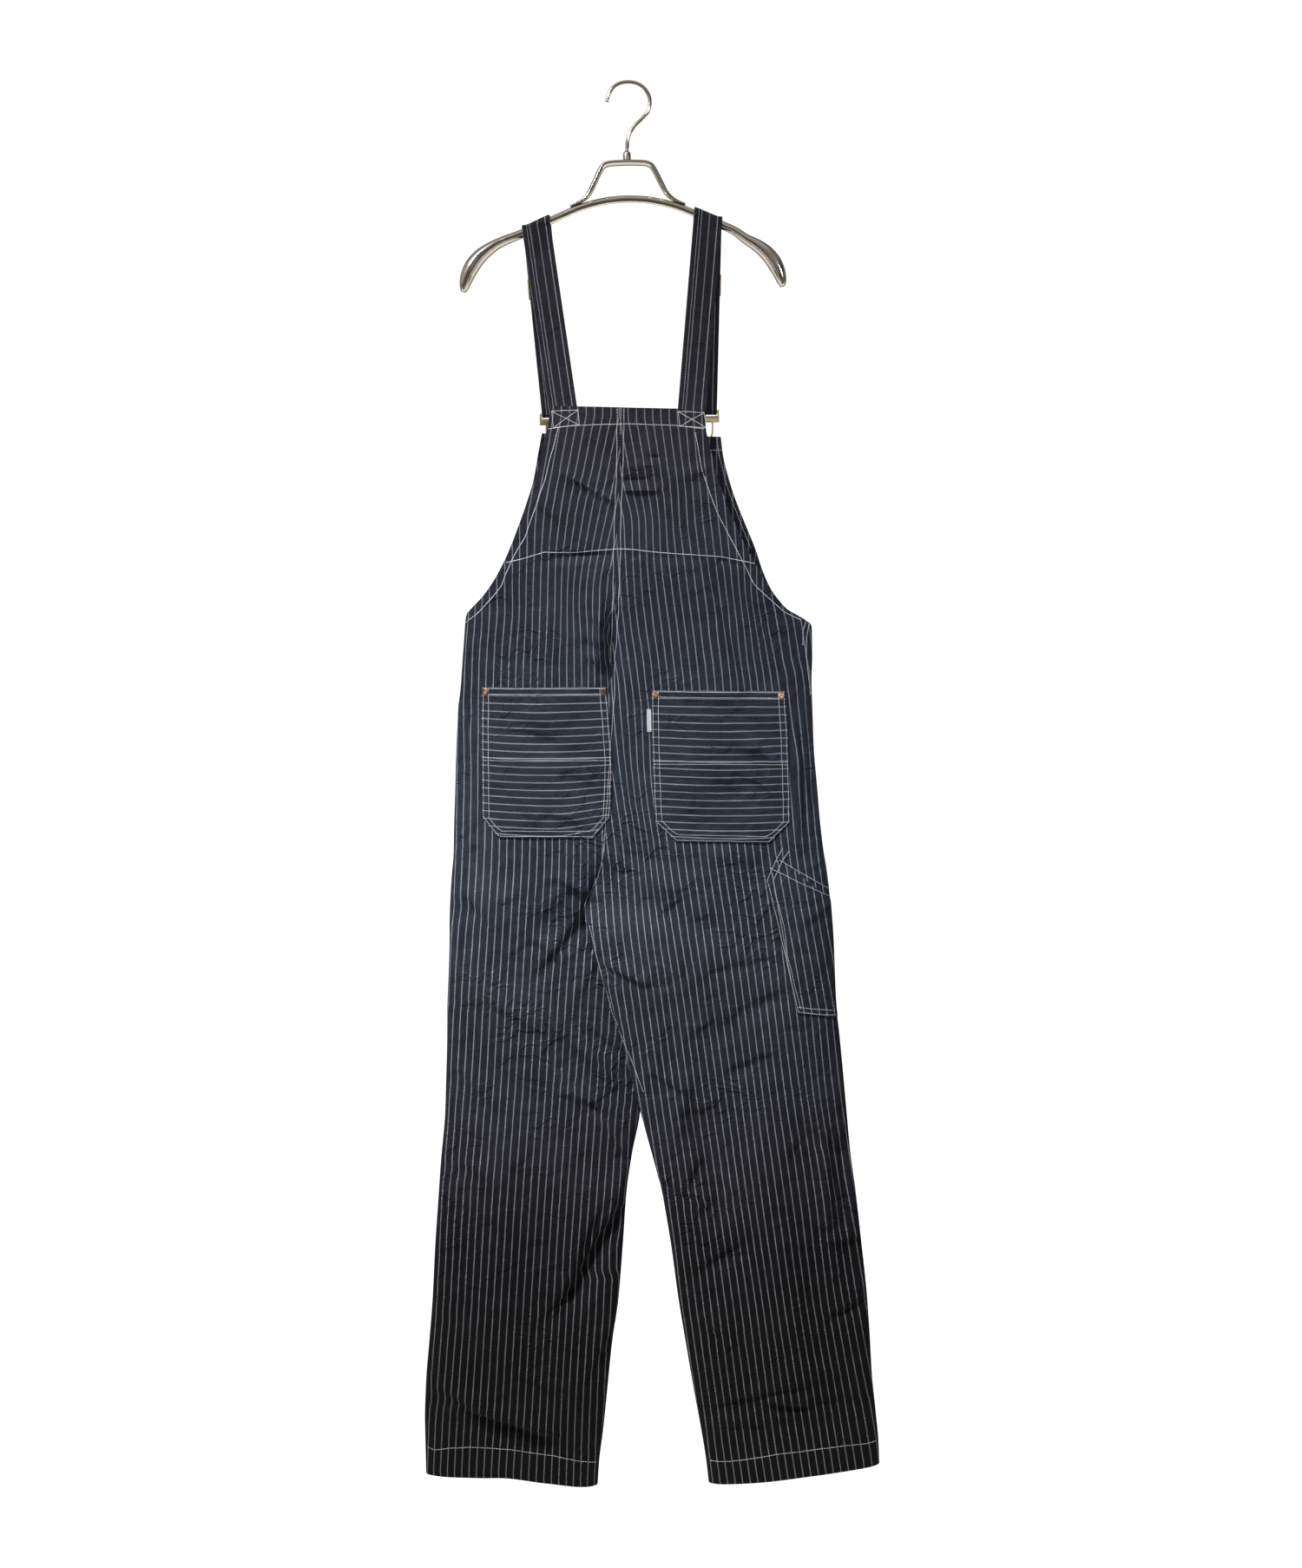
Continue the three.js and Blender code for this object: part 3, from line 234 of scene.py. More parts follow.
# %% Stripe guides
STRIPE_PITCH = 10.0
STRIPES = {
    "left": ([0, 3, 6, 10, 13], table("z a b c d e", [
        (-403, -137.6, -105.9, -74.7, -32.7, -2.0), (-446, -144.2, -114.0, -83.9, -42.9, -12.7),
        (-489, -153.1, -123.4, -93.1, -52.5, -22.3), (-533, -162.0, -131.7, -101.0, -62.2, -33.1),
        (-576, -162.2, -134.4, -106.6, -70.8, -43.9), (-620, -163.4, -137.0, -108.6, -77.2, -51.5),
        (-642, -163.7, -138.0, -109.4, -78.3, -52.3), (-687, -168.1, -140.3, -112.3, -77.0, -53.6),
        (-720, -170.8, -142.2, -114.8, -77.0, -52.5), (-958, -179.8, -149.7, -120.5, -83.4, -55.3),
        (-1050, -187.2, -157.3, -127.5, -88.0, -59.0), (-1155, -196.9, -166.3, -137.6, -97.7, -68.0),
        (-1285, -207.9, -178.8, -148.2, -108.6, -79.7), (-1430, -223.0, -192.9, -162.3, -122.5, -93.0),
        (-1577, -235.5, -205.5, -175.2, -134.8, -106.4), (-1726, -249.3, -218.3, -187.6, -147.2, -118.7),
        (-1827, -257.2, -226.3, -196.1, -154.4, -123.8)])),
    "right": ([0, 5, 9, 12, 16, 19, 23, 25], table("z a b c d e f g h", [
        (-406, -84.0, -32.1, 9.6, 40.7, 82.2, 113.9, 155.5, 176.3),
        (-449, -77.4, -25.1, 16.2, 45.5, 83.8, 113.5, 154.0, 173.8),
        (-492, -69.6, -17.9, 21.7, 50.3, 87.7, 117.4, 157.0, 176.8),
        (-536, -60.6, -8.8, 25.9, 51.8, 91.5, 121.3, 159.9, 179.8),
        (-579, -56.1, -8.5, 26.9, 56.3, 96.1, 124.2, 158.4, 178.4),
        (-623, -52.6, -7.1, 31.1, 60.9, 101.5, 127.0, 157.0, 179.2),
        (-668, -48.0, -3.5, 36.4, 66.3, 106.6, 132.1, 163.3, 187.7),
        (-712, -43.3, 2.4, 40.9, 71.2, 111.7, 136.2, 171.4, 193.6),
        (-735, -39.3, 4.2, 43.3, 73.2, 113.9, 139.3, 175.3, 198.7),
        (-779, -36.9, 8.3, 45.9, 77.3, 116.5, 143.4, 180.3, 202.7),
        (-847, -31.0, 8.9, 51.7, 83.1, 122.5, 150.6, 187.7, 209.1),
        (-962, -17.7, 20.9, 61.2, 91.3, 131.2, 161.3, 197.2, 216.4),
        (-1054, -12.2, 32.8, 72.9, 103.4, 143.1, 173.9, 210.3, 229.7),
        (-1160, -0.1, 47.6, 85.5, 116.4, 156.0, 185.2, 223.6, 241.9),
        (-1290, 15.1, 62.4, 101.6, 131.5, 170.3, 201.1, 235.7, 255.4),
        (-1435, 32.6, 80.1, 119.3, 148.3, 189.3, 220.7, 256.2, 276.0),
        (-1583, 48.4, 98.2, 139.0, 167.3, 207.1, 237.1, 277.1, 297.1),
        (-1733, 67.6, 116.5, 157.1, 188.4, 230.0, 260.3, 301.9, 322.0),
        (-1835, 78.3, 129.9, 171.4, 202.7, 244.1, 275.7, 317.4, 337.7)])),
}


def row_lengths(grid):
    """Length along each row of a grid of points, from its first column."""
    step = np.linalg.norm(np.diff(grid, axis=1), axis=2)
    return np.concatenate([np.zeros((len(grid), 1)), np.cumsum(step, axis=1)], axis=1)


def stripe_count(half, grid, z):
    """Stripe number of every point of a back panel, a whole number where a stripe runs."""
    numbers, guides = STRIPES[half]
    numbers = np.array(numbers, float)
    arc = row_lengths(grid)
    out = np.zeros(arc.shape)
    for r in range(len(grid)):
        x, s = grid[r, :, 0], arc[r]
        if x[0] > x[-1]:
            x, s = x[::-1], -s[::-1]
        at = np.array([look_up(guides, "z", n, z[r]) for n in list(guides)[1:]]).ravel()
        inside = np.clip(at, x[0], x[-1])
        mark = np.interp(inside, x, s) + at - inside
        count = np.interp(s, mark, numbers)
        count += np.minimum(0, s - mark[0]) / STRIPE_PITCH + np.maximum(0, s - mark[-1]) / STRIPE_PITCH
        out[r] = count if grid[r, 0, 0] < grid[r, -1, 0] else count[::-1]
    return out


print("stripe guides", {h: len(STRIPES[h][0]) for h in STRIPES})

# %% [markdown]
# ## Cloth panels
# Each half of the back runs in one piece from the bib to the hem, and so does each leg of the front below
# the waist; the front bib is one piece. A panel is a grid of points: down the garment by height and across
# it round the oval, with the columns closer where the cloth turns. The small creases are laid on along the
# cloth's own normal, and a solidify modifier then gives the sheet its thickness, inwards.
# A subdivided cylinder would make a leg too, but not the one piece from bib to hem that is really cut.

# %% Small creases
CREASES = {
    "back": table("x0 z0 x1 z1 width height", [
        (-34, -648, -41, -752, 5, -4.2), (-52, -640, -58, -742, 7, 2.4), (-66, -645, -72, -735, 5, -0.9),
        (-110, -578, -40, -574, 6, -1.2), (-100, -590, -60, -586, 7, 1.0), (10, -455, 30, -454, 3, -1.26),
        (-30, -482, 22, -480, 3, -1.44), (-90, -470, -42, -490, 5, 1.08),
        (-150, -700, -146, -742, 12, 1.2), (40, -600, 52, -742, 10, 0.9), (70, -620, 84, -742, 8, -0.8),
        (122, -610, 150, -700, 8, 1.1), (175, -640, 200, -700, 8, 1.0), (-226, -700, -222, -790, 9, -1.2),
        (-232, -960, -240, -1120, 12, -1.4), (196, -760, 203, -940, 6, 1.2),
        (214, -770, 224, -940, 6, -1.0), (-20, -760, -30, -900, 12, 1.0), (-28, -960, 30, -975, 8, -0.72),
        (-10, -1000, 60, -1020, 8, 0.54), (-75, -1020, -130, -1100, 8, 1.0),
        (-85, -1060, -150, -1130, 7, -1.1), (-150, -1000, -200, -1030, 10, 0.9),
        (-60, -1090, -110, -1190, 8, 0.8), (30, -1040, 120, -1075, 9, -0.42),
        (20, -1075, 110, -1120, 8, 0.6), (110, -1000, 160, -1010, 8, -0.48),
        (-50, -1120, -10, -1200, 8, 1.0), (-30, -1180, 20, -1250, 8, 1.2), (0, -1130, 40, -1230, 8, -1.0),
        (-80, -1200, -40, -1235, 6, -1.3), (-95, -1215, -72, -1242, 6, 1.0),
        (-88, -1300, -58, -1322, 6, -1.3), (-110, -1285, -70, -1300, 7, 0.9),
        (-120, -1340, -80, -1390, 8, -0.9), (-36, -1400, -60, -1470, 8, 1.0),
        (-60, -1440, -100, -1520, 7, -1.1), (-80, -1460, -120, -1560, 8, 0.9),
        (-200, -1250, -150, -1300, 12, -0.8), (-230, -1330, -170, -1400, 12, 0.8),
        (-240, -1450, -180, -1500, 12, -0.8), (-250, -1560, -190, -1600, 12, 0.8),
        (-130, -1600, -80, -1660, 9, -1.0), (-160, -1680, -90, -1720, 9, 0.9),
        (-290, -1700, -210, -1745, 9, 1.0), (-280, -1745, -170, -1790, 7, -1.2),
        (-270, -1765, -150, -1806, 7, 0.9), (50, -1270, 40, -1340, 7, 1.2),
        (64, -1390, 48, -1430, 6, -1.4), (80, -1440, 96, -1462, 6, -1.3), (90, -1400, 130, -1440, 9, 0.8),
        (60, -1480, 110, -1540, 9, -0.8), (150, -1330, 200, -1380, 12, 0.8),
        (170, -1450, 220, -1490, 12, -0.8), (236, -1350, 240, -1480, 7, 1.2),
        (256, -1360, 262, -1470, 6, -1.4), (120, -1600, 180, -1640, 12, 0.8),
        (210, -1560, 250, -1610, 11, -0.9), (90, -1680, 150, -1700, 9, -0.9),
        (130, -1735, 245, -1728, 6, -1.3), (120, -1752, 250, -1748, 6, 1.1),
        (140, -1765, 270, -1760, 6, -0.9), (180, -1700, 270, -1690, 9, 0.8),
        (-85, -1224, -46, -1280, 8, 2.0), (-126, -1248, -87, -1307, 7, 1.4),
        (-83, -1307, -39, -1369, 7, 1.5), (-43, -1454, -112, -1568, 9, -2.4),
        (-104, -1563, -156, -1609, 8, -1.5), (-179, -1678, -138, -1708, 6, 1.3),
        (-251, -1730, -130, -1769, 6, 2.0), (-286, -1702, -152, -1758, 9, 1.4),
        (6, -1257, 57, -1289, 7, 1.4), (100, -1264, 159, -1243, 8, -1.2), (17, -1409, 72, -1443, 7, 1.2),
        (29, -1454, 53, -1534, 8, 1.1), (62, -1543, 131, -1496, 8, -1.3), (244, -1500, 279, -1495, 7, 1.6),
        (243, -1609, 288, -1587, 7, -1.6), (199, -1675, 243, -1686, 7, 1.3),
        (85, -1737, 199, -1707, 7, -1.7), (164, -1727, 235, -1739, 6, 1.4),
        (94, -1756, 164, -1764, 6, 1.4), (-52, -1109, -1, -1137, 6, 2.0), (18, -1029, 98, -995, 7, -0.36),
        (29, -1054, 120, -1042, 7, 0.3), (85, -1123, 177, -1108, 8, -0.8), (-49, -964, -9, -988, 6, 0.96),
        (-117, -992, -61, -1024, 7, 1.5), (-154, -1067, -109, -1110, 7, 1.4),
        (-213, -1154, -145, -1196, 9, 1.3), (-244, -1381, -203, -1410, 9, 1.3),
        (-120, -578, -40, -574, 3.5, -1.1), (-40, -574, 26, -579, 3.5, -0.8),
        (26, -579, 102, -585, 3.5, -0.8), (102, -585, 146, -594, 3.5, -1.0),
        (-60, -655, -38, -668, 6, 1.4), (-66, -680, -38, -694, 6, 1.6), (-64, -706, -40, -722, 6, 1.5),
        (-140, -500, -100, -530, 9, 1.62), (40, -520, 80, -560, 9, 0.9), (-92, -476, -54, -498, 4, 2.34),
        (-52, -500, -28, -512, 4, 1.8), (-28, -497, 24, -497, 3.5, 2.16), (-24, -467, 28, -466, 3.5, 1.26),
        (60, -480, 92, -470, 5, 1.62), (-200, -640, -170, -700, 10, 1.2), (-120, -660, -110, -735, 9, 1.3),
        (60, -690, 100, -740, 10, 1.0), (-215, -850, -222, -950, 7, 1.4), (-229, -770, -214, -850, 7, 1.2),
        (-30, -870, -12, -940, 8, 1.3), (-34, -780, -18, -850, 7, -1.3), (196, -820, 214, -900, 7, 1.5),
        (60, -960, 150, -975, 8, 0.78), (200, -1060, 240, -1040, 8, 1.0),
        (120, -1180, 190, -1150, 9, -1.1), (-240, -1010, -190, -1060, 10, 1.1),
        (-250, -1250, -205, -1300, 10, 1.1), (-60, -1620, -95, -1690, 8, 1.3),
        (-260, -1580, -210, -1650, 10, 1.2), (75, -1600, 120, -1660, 9, 1.2),
        (250, -1380, 200, -1330, 9, -1.1)]),
    "front": table("x0 z0 x1 z1 width height", [
        (-40, -960, -120, -1020, 9, -1.4), (-60, -1010, -150, -1080, 8, 1.0),
        (10, -960, 90, -1015, 9, -1.3), (0, -1010, 80, -1090, 8, 1.0), (-40, -1180, -110, -1230, 9, -1.0),
        (10, -1180, 90, -1240, 9, -1.1), (-60, -1400, -130, -1470, 9, -1.2),
        (-80, -1440, -140, -1520, 8, 0.9), (60, -1380, 130, -1450, 9, -1.2),
        (70, -1430, 140, -1500, 8, 0.9), (-220, -1350, -160, -1400, 12, -0.9),
        (-240, -1500, -180, -1560, 12, 0.8), (170, -1350, 230, -1400, 12, -0.9),
        (180, -1520, 240, -1570, 12, 0.8), (-270, -1740, -160, -1775, 8, -1.2),
        (110, -1745, 240, -1755, 8, -1.2), (-150, -780, -165, -960, 9, 1.0), (120, -780, 140, -960, 9, 1.0)]),
}


def crumple(x, z, seed):
    """A faint unevenness of worn cloth, from a few crossed waves of unlike lengths."""
    waves = ((0.061, 0.019, 0.30), (0.043, -0.027, 0.34), (0.017, 0.049, 0.30), (0.088, -0.012, 0.16),
             (0.031, 0.073, 0.18), (0.125, 0.041, 0.09), (0.058, -0.114, 0.10))
    total = np.zeros(np.broadcast(x, z).shape)
    for k, (a, b, height) in enumerate(waves):
        bend = 2.2 * np.sin(0.013 * z + seed + 1.7 * k) + 1.4 * np.sin(0.021 * x - 2.3 * k)
        total += height * np.sin(a * x + b * z + bend + 1.3 * k * seed)
    return total


# %% Panel grids
SEAM_GAP = 0.3
SHEET = 1.1
INSEAM_MEET = 25.0
CREASE_DEPTH = 3.0
FOLD_DEPTH = 2.0


def place_on_oval(face, half, z, t):
    """Points in millimetres on the outer surface at a nominal height and a place round the oval."""
    start, end = oval_span(half, z)
    outer = outer_edge(face, half, z)
    x = outer + (inner_edge(half, z) - outer) * (t - start) / (end - start)
    bulge = (1 - np.minimum(1, np.abs(t)) ** FULLNESS) ** (1 / FULLNESS)
    facing = -1 if face == "back" else 1
    lift = np.where(z > CROTCH, 0, look_up(LEG_CROSSING, "z", "lift", z))
    middle = (1 if half == "left" else -1) * lift * smoothstep(0, 1, t)
    y = middle + facing * bulge * (column(face, z) + FOLD_DEPTH * line_height(FOLDS[face], x, z))
    return np.stack([x, y, z - edge_drop(x, z)], axis=-1), middle


def grid_normals(grid, facing):
    """Unit normals of a grid of points, towards the given side of the Y axis."""
    across = np.gradient(grid, axis=1)
    down = np.gradient(grid, axis=0)
    normal = np.cross(across, down)
    normal /= np.linalg.norm(normal, axis=2, keepdims=True)
    if normal[:, :, 1].sum() * facing < 0:
        normal = -normal
    return normal


def panel_grid(face, half, top, bottom, row_step, columns):
    """Grid of a half of the back or the front, with its small creases and its heights."""
    z = np.linspace(top, bottom, int(round((top - bottom) / row_step)) + 1)
    share = np.linspace(0, 1, columns + 1)
    start, end = oval_span(half, z[:, None])
    first, last = np.arccos(-start), np.arccos(-end)
    t = -np.cos(first + (last - first) * share)
    grid, middle = place_on_oval(face, half, z[:, None], t)
    facing = -1 if face == "back" else 1
    x, height = grid[:, :, 0], grid[:, :, 2]
    small = CREASE_DEPTH * line_height(CREASES[face], x, height) + crumple(x, height,
        1.0 if half == "left" else 2.0)
    ease = smoothstep(0, 0.1, share) * smoothstep(0, 0.06, 1 - share)
    grid = grid + grid_normals(grid, facing) * (small * ease)[:, :, None]
    grid[:, :, 1] = middle + facing * np.maximum(SEAM_GAP / 2, facing * (grid[:, :, 1] - middle))
    joined = (z > CROTCH - INSEAM_MEET)[:, None]
    limit = inner_edge(half, z)[:, None]
    if half == "left":
        grid[:, :, 0] = np.where(joined, np.minimum(grid[:, :, 0], limit - SEAM_GAP / 2), grid[:, :, 0])
    else:
        grid[:, :, 0] = np.where(joined, np.maximum(grid[:, :, 0], limit + SEAM_GAP / 2), grid[:, :, 0])
    return grid, z


# %% Sheet objects
UV_NAME = "weave"


def put_in_scene(name, mesh):
    obj = bpy.data.objects.new(name, mesh)
    bpy.context.scene.collection.objects.link(obj)
    return obj


def only(obj):
    """Leaves one object selected and active."""
    bpy.ops.object.select_all(action="DESELECT")
    obj.select_set(True)
    bpy.context.view_layer.objects.active = obj


def sheet_object(name, grid, across, along, facing, thickness=SHEET):
    """Cloth from a grid of points in millimetres, with its weave coordinates, made thick inwards."""
    rows, cols = grid.shape[:2]
    cell = np.arange(rows * cols).reshape(rows, cols)
    quads = np.stack([cell[:-1, :-1], cell[:-1, 1:], cell[1:, 1:], cell[1:, :-1]], axis=-1).reshape(-1, 4)
    mesh = bpy.data.meshes.new(name)
    mesh.from_pydata((grid.reshape(-1, 3) * MM).tolist(), [], quads.tolist())
    uv = mesh.uv_layers.new(name=UV_NAME)
    weave = np.stack([across, along], axis=-1).reshape(-1, 2) * MM
    uv.data.foreach_set("uv", weave[quads.ravel()].ravel())
    mesh.update()
    mean = sum((p.normal * p.area for p in mesh.polygons), Vector())
    if mean.y * facing < 0:
        mesh.flip_normals()
    obj = put_in_scene(name, mesh)
    only(obj)
    solid = obj.modifiers.new("thickness", "SOLIDIFY")
    solid.thickness = thickness * MM
    solid.offset = -1
    bpy.ops.object.modifier_apply(modifier=solid.name)
    bpy.ops.object.shade_smooth_by_angle(angle=math.radians(50))
    return obj


def flat_area(grid):
    """Area of a grid of points in square metres."""
    a, b, c, d = grid[:-1, :-1], grid[:-1, 1:], grid[1:, 1:], grid[1:, :-1]
    cells = np.linalg.norm(np.cross(b - a, c - a), axis=-1) + np.linalg.norm(np.cross(c - a, d - a), axis=-1)
    return float(cells.sum()) / 2 * MM * MM


# %% The back halves
ROW_STEP = {"back": 3.6, "front": 5.0}
COLUMNS = {"back": 84, "front": 48}
cloth = {}
areas = {}
for half in ("left", "right"):
    grid, z = panel_grid("back", half, BACK_TOP, HEM, ROW_STEP["back"], COLUMNS["back"])
    count = stripe_count(half, grid, z)
    along = np.broadcast_to(z[:, None], count.shape)
    name = f"back_{half}_cloth"
    cloth[name] = sheet_object(name, grid, count * STRIPE_PITCH, along, -1)
    areas[name] = flat_area(grid)
    print(name, len(cloth[name].data.polygons), "faces", round(areas[name], 3), "m2")

# %% The front legs
for half in ("left", "right"):
    grid, z = panel_grid("front", half, WAIST - SEAM_GAP, HEM, ROW_STEP["front"], COLUMNS["front"])
    arc = row_lengths(grid)
    across = arc - arc[:, -1:] / 2 + (4.0 if half == "left" else -4.0)
    along = np.broadcast_to(z[:, None], arc.shape)
    name = f"front_{half}_cloth"
    cloth[name] = sheet_object(name, grid, across, along, 1)
    areas[name] = flat_area(grid)
    print(name, len(cloth[name].data.polygons), "faces", round(areas[name], 3), "m2")

# %% The front bib
left_grid, z = panel_grid("front", "left", BIB_TOP, WAIST, ROW_STEP["front"], COLUMNS["front"] // 2 + 6)
right_grid, _ = panel_grid("front", "right", BIB_TOP, WAIST, ROW_STEP["front"], COLUMNS["front"] // 2 + 6)
bib = np.concatenate([left_grid[:, :-1], right_grid[:, ::-1]], axis=1)
arc = row_lengths(bib)
cloth["front_bib_cloth"] = sheet_object("front_bib_cloth", bib, arc - arc[:, -1:] / 2,
                                        np.broadcast_to(z[:, None], arc.shape), 1)
areas["front_bib_cloth"] = flat_area(bib)
print("front_bib_cloth", round(areas["front_bib_cloth"], 3), "m2")

# %% [markdown]
# ## Patch pockets and the tool pocket
# A patch pocket is cut from the same cloth turned a quarter round, so its stripes run across. Its edges are
# turned under and it is sewn on flat, and worn cloth lifts a little in the middle. Each one is a grid
# between its two side edges, laid on the finished back by a ray from in front, so it touches the cloth
# everywhere. A boolean cut of a thick slab would also give the outline, but its stripes could not follow
# the sag of the cloth.

# %% Finding the cloth
def tree_of(*names):
    """One search tree over finished cloth pieces."""
    mesh = bmesh.new()
    for name in names:
        mesh.from_mesh(cloth[name].data)
    tree = BVHTree.FromBMesh(mesh)
    mesh.free()
    return tree


back_tree = tree_of("back_left_cloth", "back_right_cloth")
front_tree = tree_of("front_bib_cloth", "front_left_cloth", "front_right_cloth")


def touch(tree, x, z, facing, out=0.0):
    """Place and normal of the cloth at x, z in millimetres, seen along Y, moved out by a distance."""
    for aside in (0.0, 0.6, -0.6, 1.6, -1.6):   # a ray may pass through the gap at a seam
        start = Vector(((x + aside) * MM, 0.3 * facing, z * MM))
        hit, normal, _, _ = tree.ray_cast(start, Vector((0, -facing, 0)))
        if hit is not None:
            break
    if hit is None:
        return None, None
    hit.x = x * MM
    if normal.y * facing < 0:
        normal = -normal
    return hit + normal * out * MM, normal


def laid_on(tree, x, z, facing, out):
    """A grid of places in the picture plane, laid on the cloth and moved out."""
    grid = np.zeros(x.shape + (3,))
    for index in np.ndindex(x.shape):
        place, _ = touch(tree, x[index], z[index], facing, float(out[index]))
        grid[index] = np.array(place) / MM
    return grid


# %% Seat pockets
PLY = 1.2
LIFT = 3.2
POCKETS = {
    "left": {"z": (-743, -795, -842, -890, -912, -925, -938.5),
    "x0": (-206.5, -208.5, -209.5, -210.6, -211, -201, -189.5),
             "x1": (-45.5, -42, -40, -42.5, -44.5, -55.5, -67), "tilt": -2.0, "sag": 3.0, "kick": 5.5},
    "right": {"z": (-750, -800, -846, -890, -920, -933, -947), "x0": (12, 11.5, 12, 12.8, 14, 27, 40.5),
              "x1": (184.5, 187.5, 189, 190, 190, 176, 162.5), "tilt": -5.0, "sag": 2.0, "kick": 0.0},
}
POCKET_ROWS, POCKET_COLUMNS = 64, 52
POCKET_CREASE_DEPTH, MOUTH_LIFT, POCKET_GAP = 3.2, 1.2, 0.5
LOOSE_FROM_EDGE = 1.6   # how soon inside its edges a pocket's cloth can crease
POCKET_CREASES = table("x0 z0 x1 z1 width height", [
    (68, -761, 120, -780, 7, -2.6), (60, -756, 130, -758, 5, 1.6), (119, -781, 161, -806, 8, -2.6),
    (158, -806, 180, -838, 9, -2.2), (143, -832, 156, -858, 8, -2.6), (119, -865, 174, -902, 8, -2.8),
    (65, -926, 121, -935, 7, -2.0), (-180, -800, -120, -812, 7, -1.6), (-100, -858, -52, -886, 7, -2.0),
    (120, -818, 180, -852, 9, 1.8), (158, -860, 176, -900, 10, -2.4), (96, -868, 116, -888, 4, -1.4),
    (-60, -862, -46, -915, 8, -2.6), (-120, -905, -70, -925, 9, 1.4), (-98, -753, -78, -758, 5, 1.5),
    (-190, -880, -150, -925, 12, -1.8), (30, -890, 60, -930, 12, -1.8), (-160, -770, -110, -800, 14, 1.2)])


def pocket_grid(p):
    """Places of a pocket's points from its top edge down, between its two side edges."""
    steps = np.array(p["z"], float)[::-1]
    level = np.linspace(p["z"][0], p["z"][-1], POCKET_ROWS + 1)[:, None]
    x0 = np.interp(level, steps, np.array(p["x0"])[::-1])
    x1 = np.interp(level, steps, np.array(p["x1"])[::-1])
    share = np.linspace(0, 1, POCKET_COLUMNS + 1)[None, :]
    x = x0 + (x1 - x0) * share
    z = level + p["tilt"] * share
    return x, z, share, level


for half, p in POCKETS.items():
    x, z, share, level = pocket_grid(p)
    down = (p["z"][0] - level) / (p["z"][0] - p["z"][-1])
    puff = (np.sin(np.pi * share) ** 0.7) * (np.sin(np.pi * np.clip(down, 0, 1)) ** 0.7)
    mouth = np.exp(-((share - 0.5) / 0.32) ** 2) * np.exp(-((down / 0.10) ** 2))
    creased = POCKET_CREASE_DEPTH * line_height(POCKET_CREASES, x, z) * np.minimum(1, LOOSE_FROM_EDGE * puff)
    lift = np.maximum(0, LIFT * puff + MOUTH_LIFT * mouth + creased)
    grid = laid_on(back_tree, x, z, -1, PLY + POCKET_GAP + lift)
    drop = p["z"][0] - level + 0 * share
    sag = p["sag"] * np.sin(np.pi * share) * smoothstep(0, 0.3, down)
    kick = p["kick"] * smoothstep(0.62, 1, share) * smoothstep(0.45, 1, down)
    name = f"pocket_{half}_cloth"
    cloth[name] = sheet_object(name, grid, drop - sag + kick, x, -1, PLY)
    areas[name] = flat_area(grid)
    print(name, round(areas[name], 4), "m2")

# %% Tool pocket
TOOL_EDGE = table("z left",
    [(-972, 175), (-1003, 160), (-1023, 161.5), (-1058, 170), (-1104, 180.5), (-1147, 191.3), (-1181, 197.5)])
TOOL_RIGHT = (-1031.0, -1190.0)
rows = np.linspace(0, 1, 61)[:, None]
share = np.linspace(0, 1, 29)[None, :]
left_z = TOOL_EDGE["z"][0] + (TOOL_EDGE["z"][-1] - TOOL_EDGE["z"][0]) * rows
left_x = np.interp(-left_z, -TOOL_EDGE["z"], TOOL_EDGE["left"])
right_z = TOOL_RIGHT[0] + (TOOL_RIGHT[1] - TOOL_RIGHT[0]) * rows
right_x = outer_edge("back", "right", right_z) - 1.2
x = left_x + (right_x - left_x) * share
z = left_z + (right_z - left_z) * share
puff = np.sin(np.pi * rows) * np.sin(np.pi * np.clip(share * 1.1, 0, 1))
grid = laid_on(back_tree, x, z, -1, PLY + 0.4 + 1.6 * puff * (share < 0.95))
lean = (z + 1100) * 0.165
cloth["tool_pocket_cloth"] = sheet_object("tool_pocket_cloth", grid, x + lean - 3.5, z, -1, PLY)
areas["tool_pocket_cloth"] = flat_area(grid)
print("tool pocket", round(areas["tool_pocket_cloth"], 4), "m2")

# %% Tab
x = np.linspace(5.7, 11.2, 5)[None, :] + np.zeros((15, 1))
z = np.linspace(-774, -803, 15)[:, None] + np.zeros((1, 5))
grid = laid_on(back_tree, x, z, -1, np.full(x.shape, 1.5) + 0.6 * np.linspace(1, 0, 5)[None, :])
cloth["pocket_tab_cloth"] = sheet_object("pocket_tab_cloth", grid, x, z, -1, 0.6)
areas["pocket_tab_cloth"] = flat_area(grid)

# %% [markdown]
# ## Straps
# A strap is a flat tube of the same cloth, pressed and edge stitched. It is sewn inside the back, goes over
# the hanger's bar, and comes down the front through the buckle and back up to its slider. One ribbon
# follows that route, with its width turned to the slope of the bar where it crosses.
# Cloth simulation could lay a strip over the bar, but the route through the buckle and the slider has to be
# exact.

# %% Strap sizes
STRAP = {"width": 36.0, "thickness": 2.0}
STRAP_SEWN = -420.0
STRAP_STRIPE_X = 2.0
STRAPS = {
    "left": {"hanger": -121.5, "back": -93.5, "front": -103.5},
    "right": {"hanger": 93.0, "back": 70.0, "front": 84.0},
}
HANGER_X = -6.8
BAR = table("reach z half deep", [
    (0, -136.3, 4.4, 4.4), (20, -137.3, 4.4, 4.4), (40, -140.6, 4.4, 4.4), (60, -145.8, 4.4, 4.4),
    (80, -153.6, 4.4, 4.6), (98, -161.2, 4.6, 6.4), (115, -168.6, 4.8, 8.2), (135, -177.2, 4.9, 10.5),
    (155, -187, 5, 12.5)])
BUCKLE_Y, BUCKLE_RAIL_Z, BUCKLE_RAIL, BUCKLE_PLATE = 12.0, -397.0, 3.5, 2.8
SLIDER_Y, SLIDER_Z, SLIDER_BAR, SLIDER_PLATE = 14.4, -240.0, 3.0, 2.2
CLOSE = 0.9


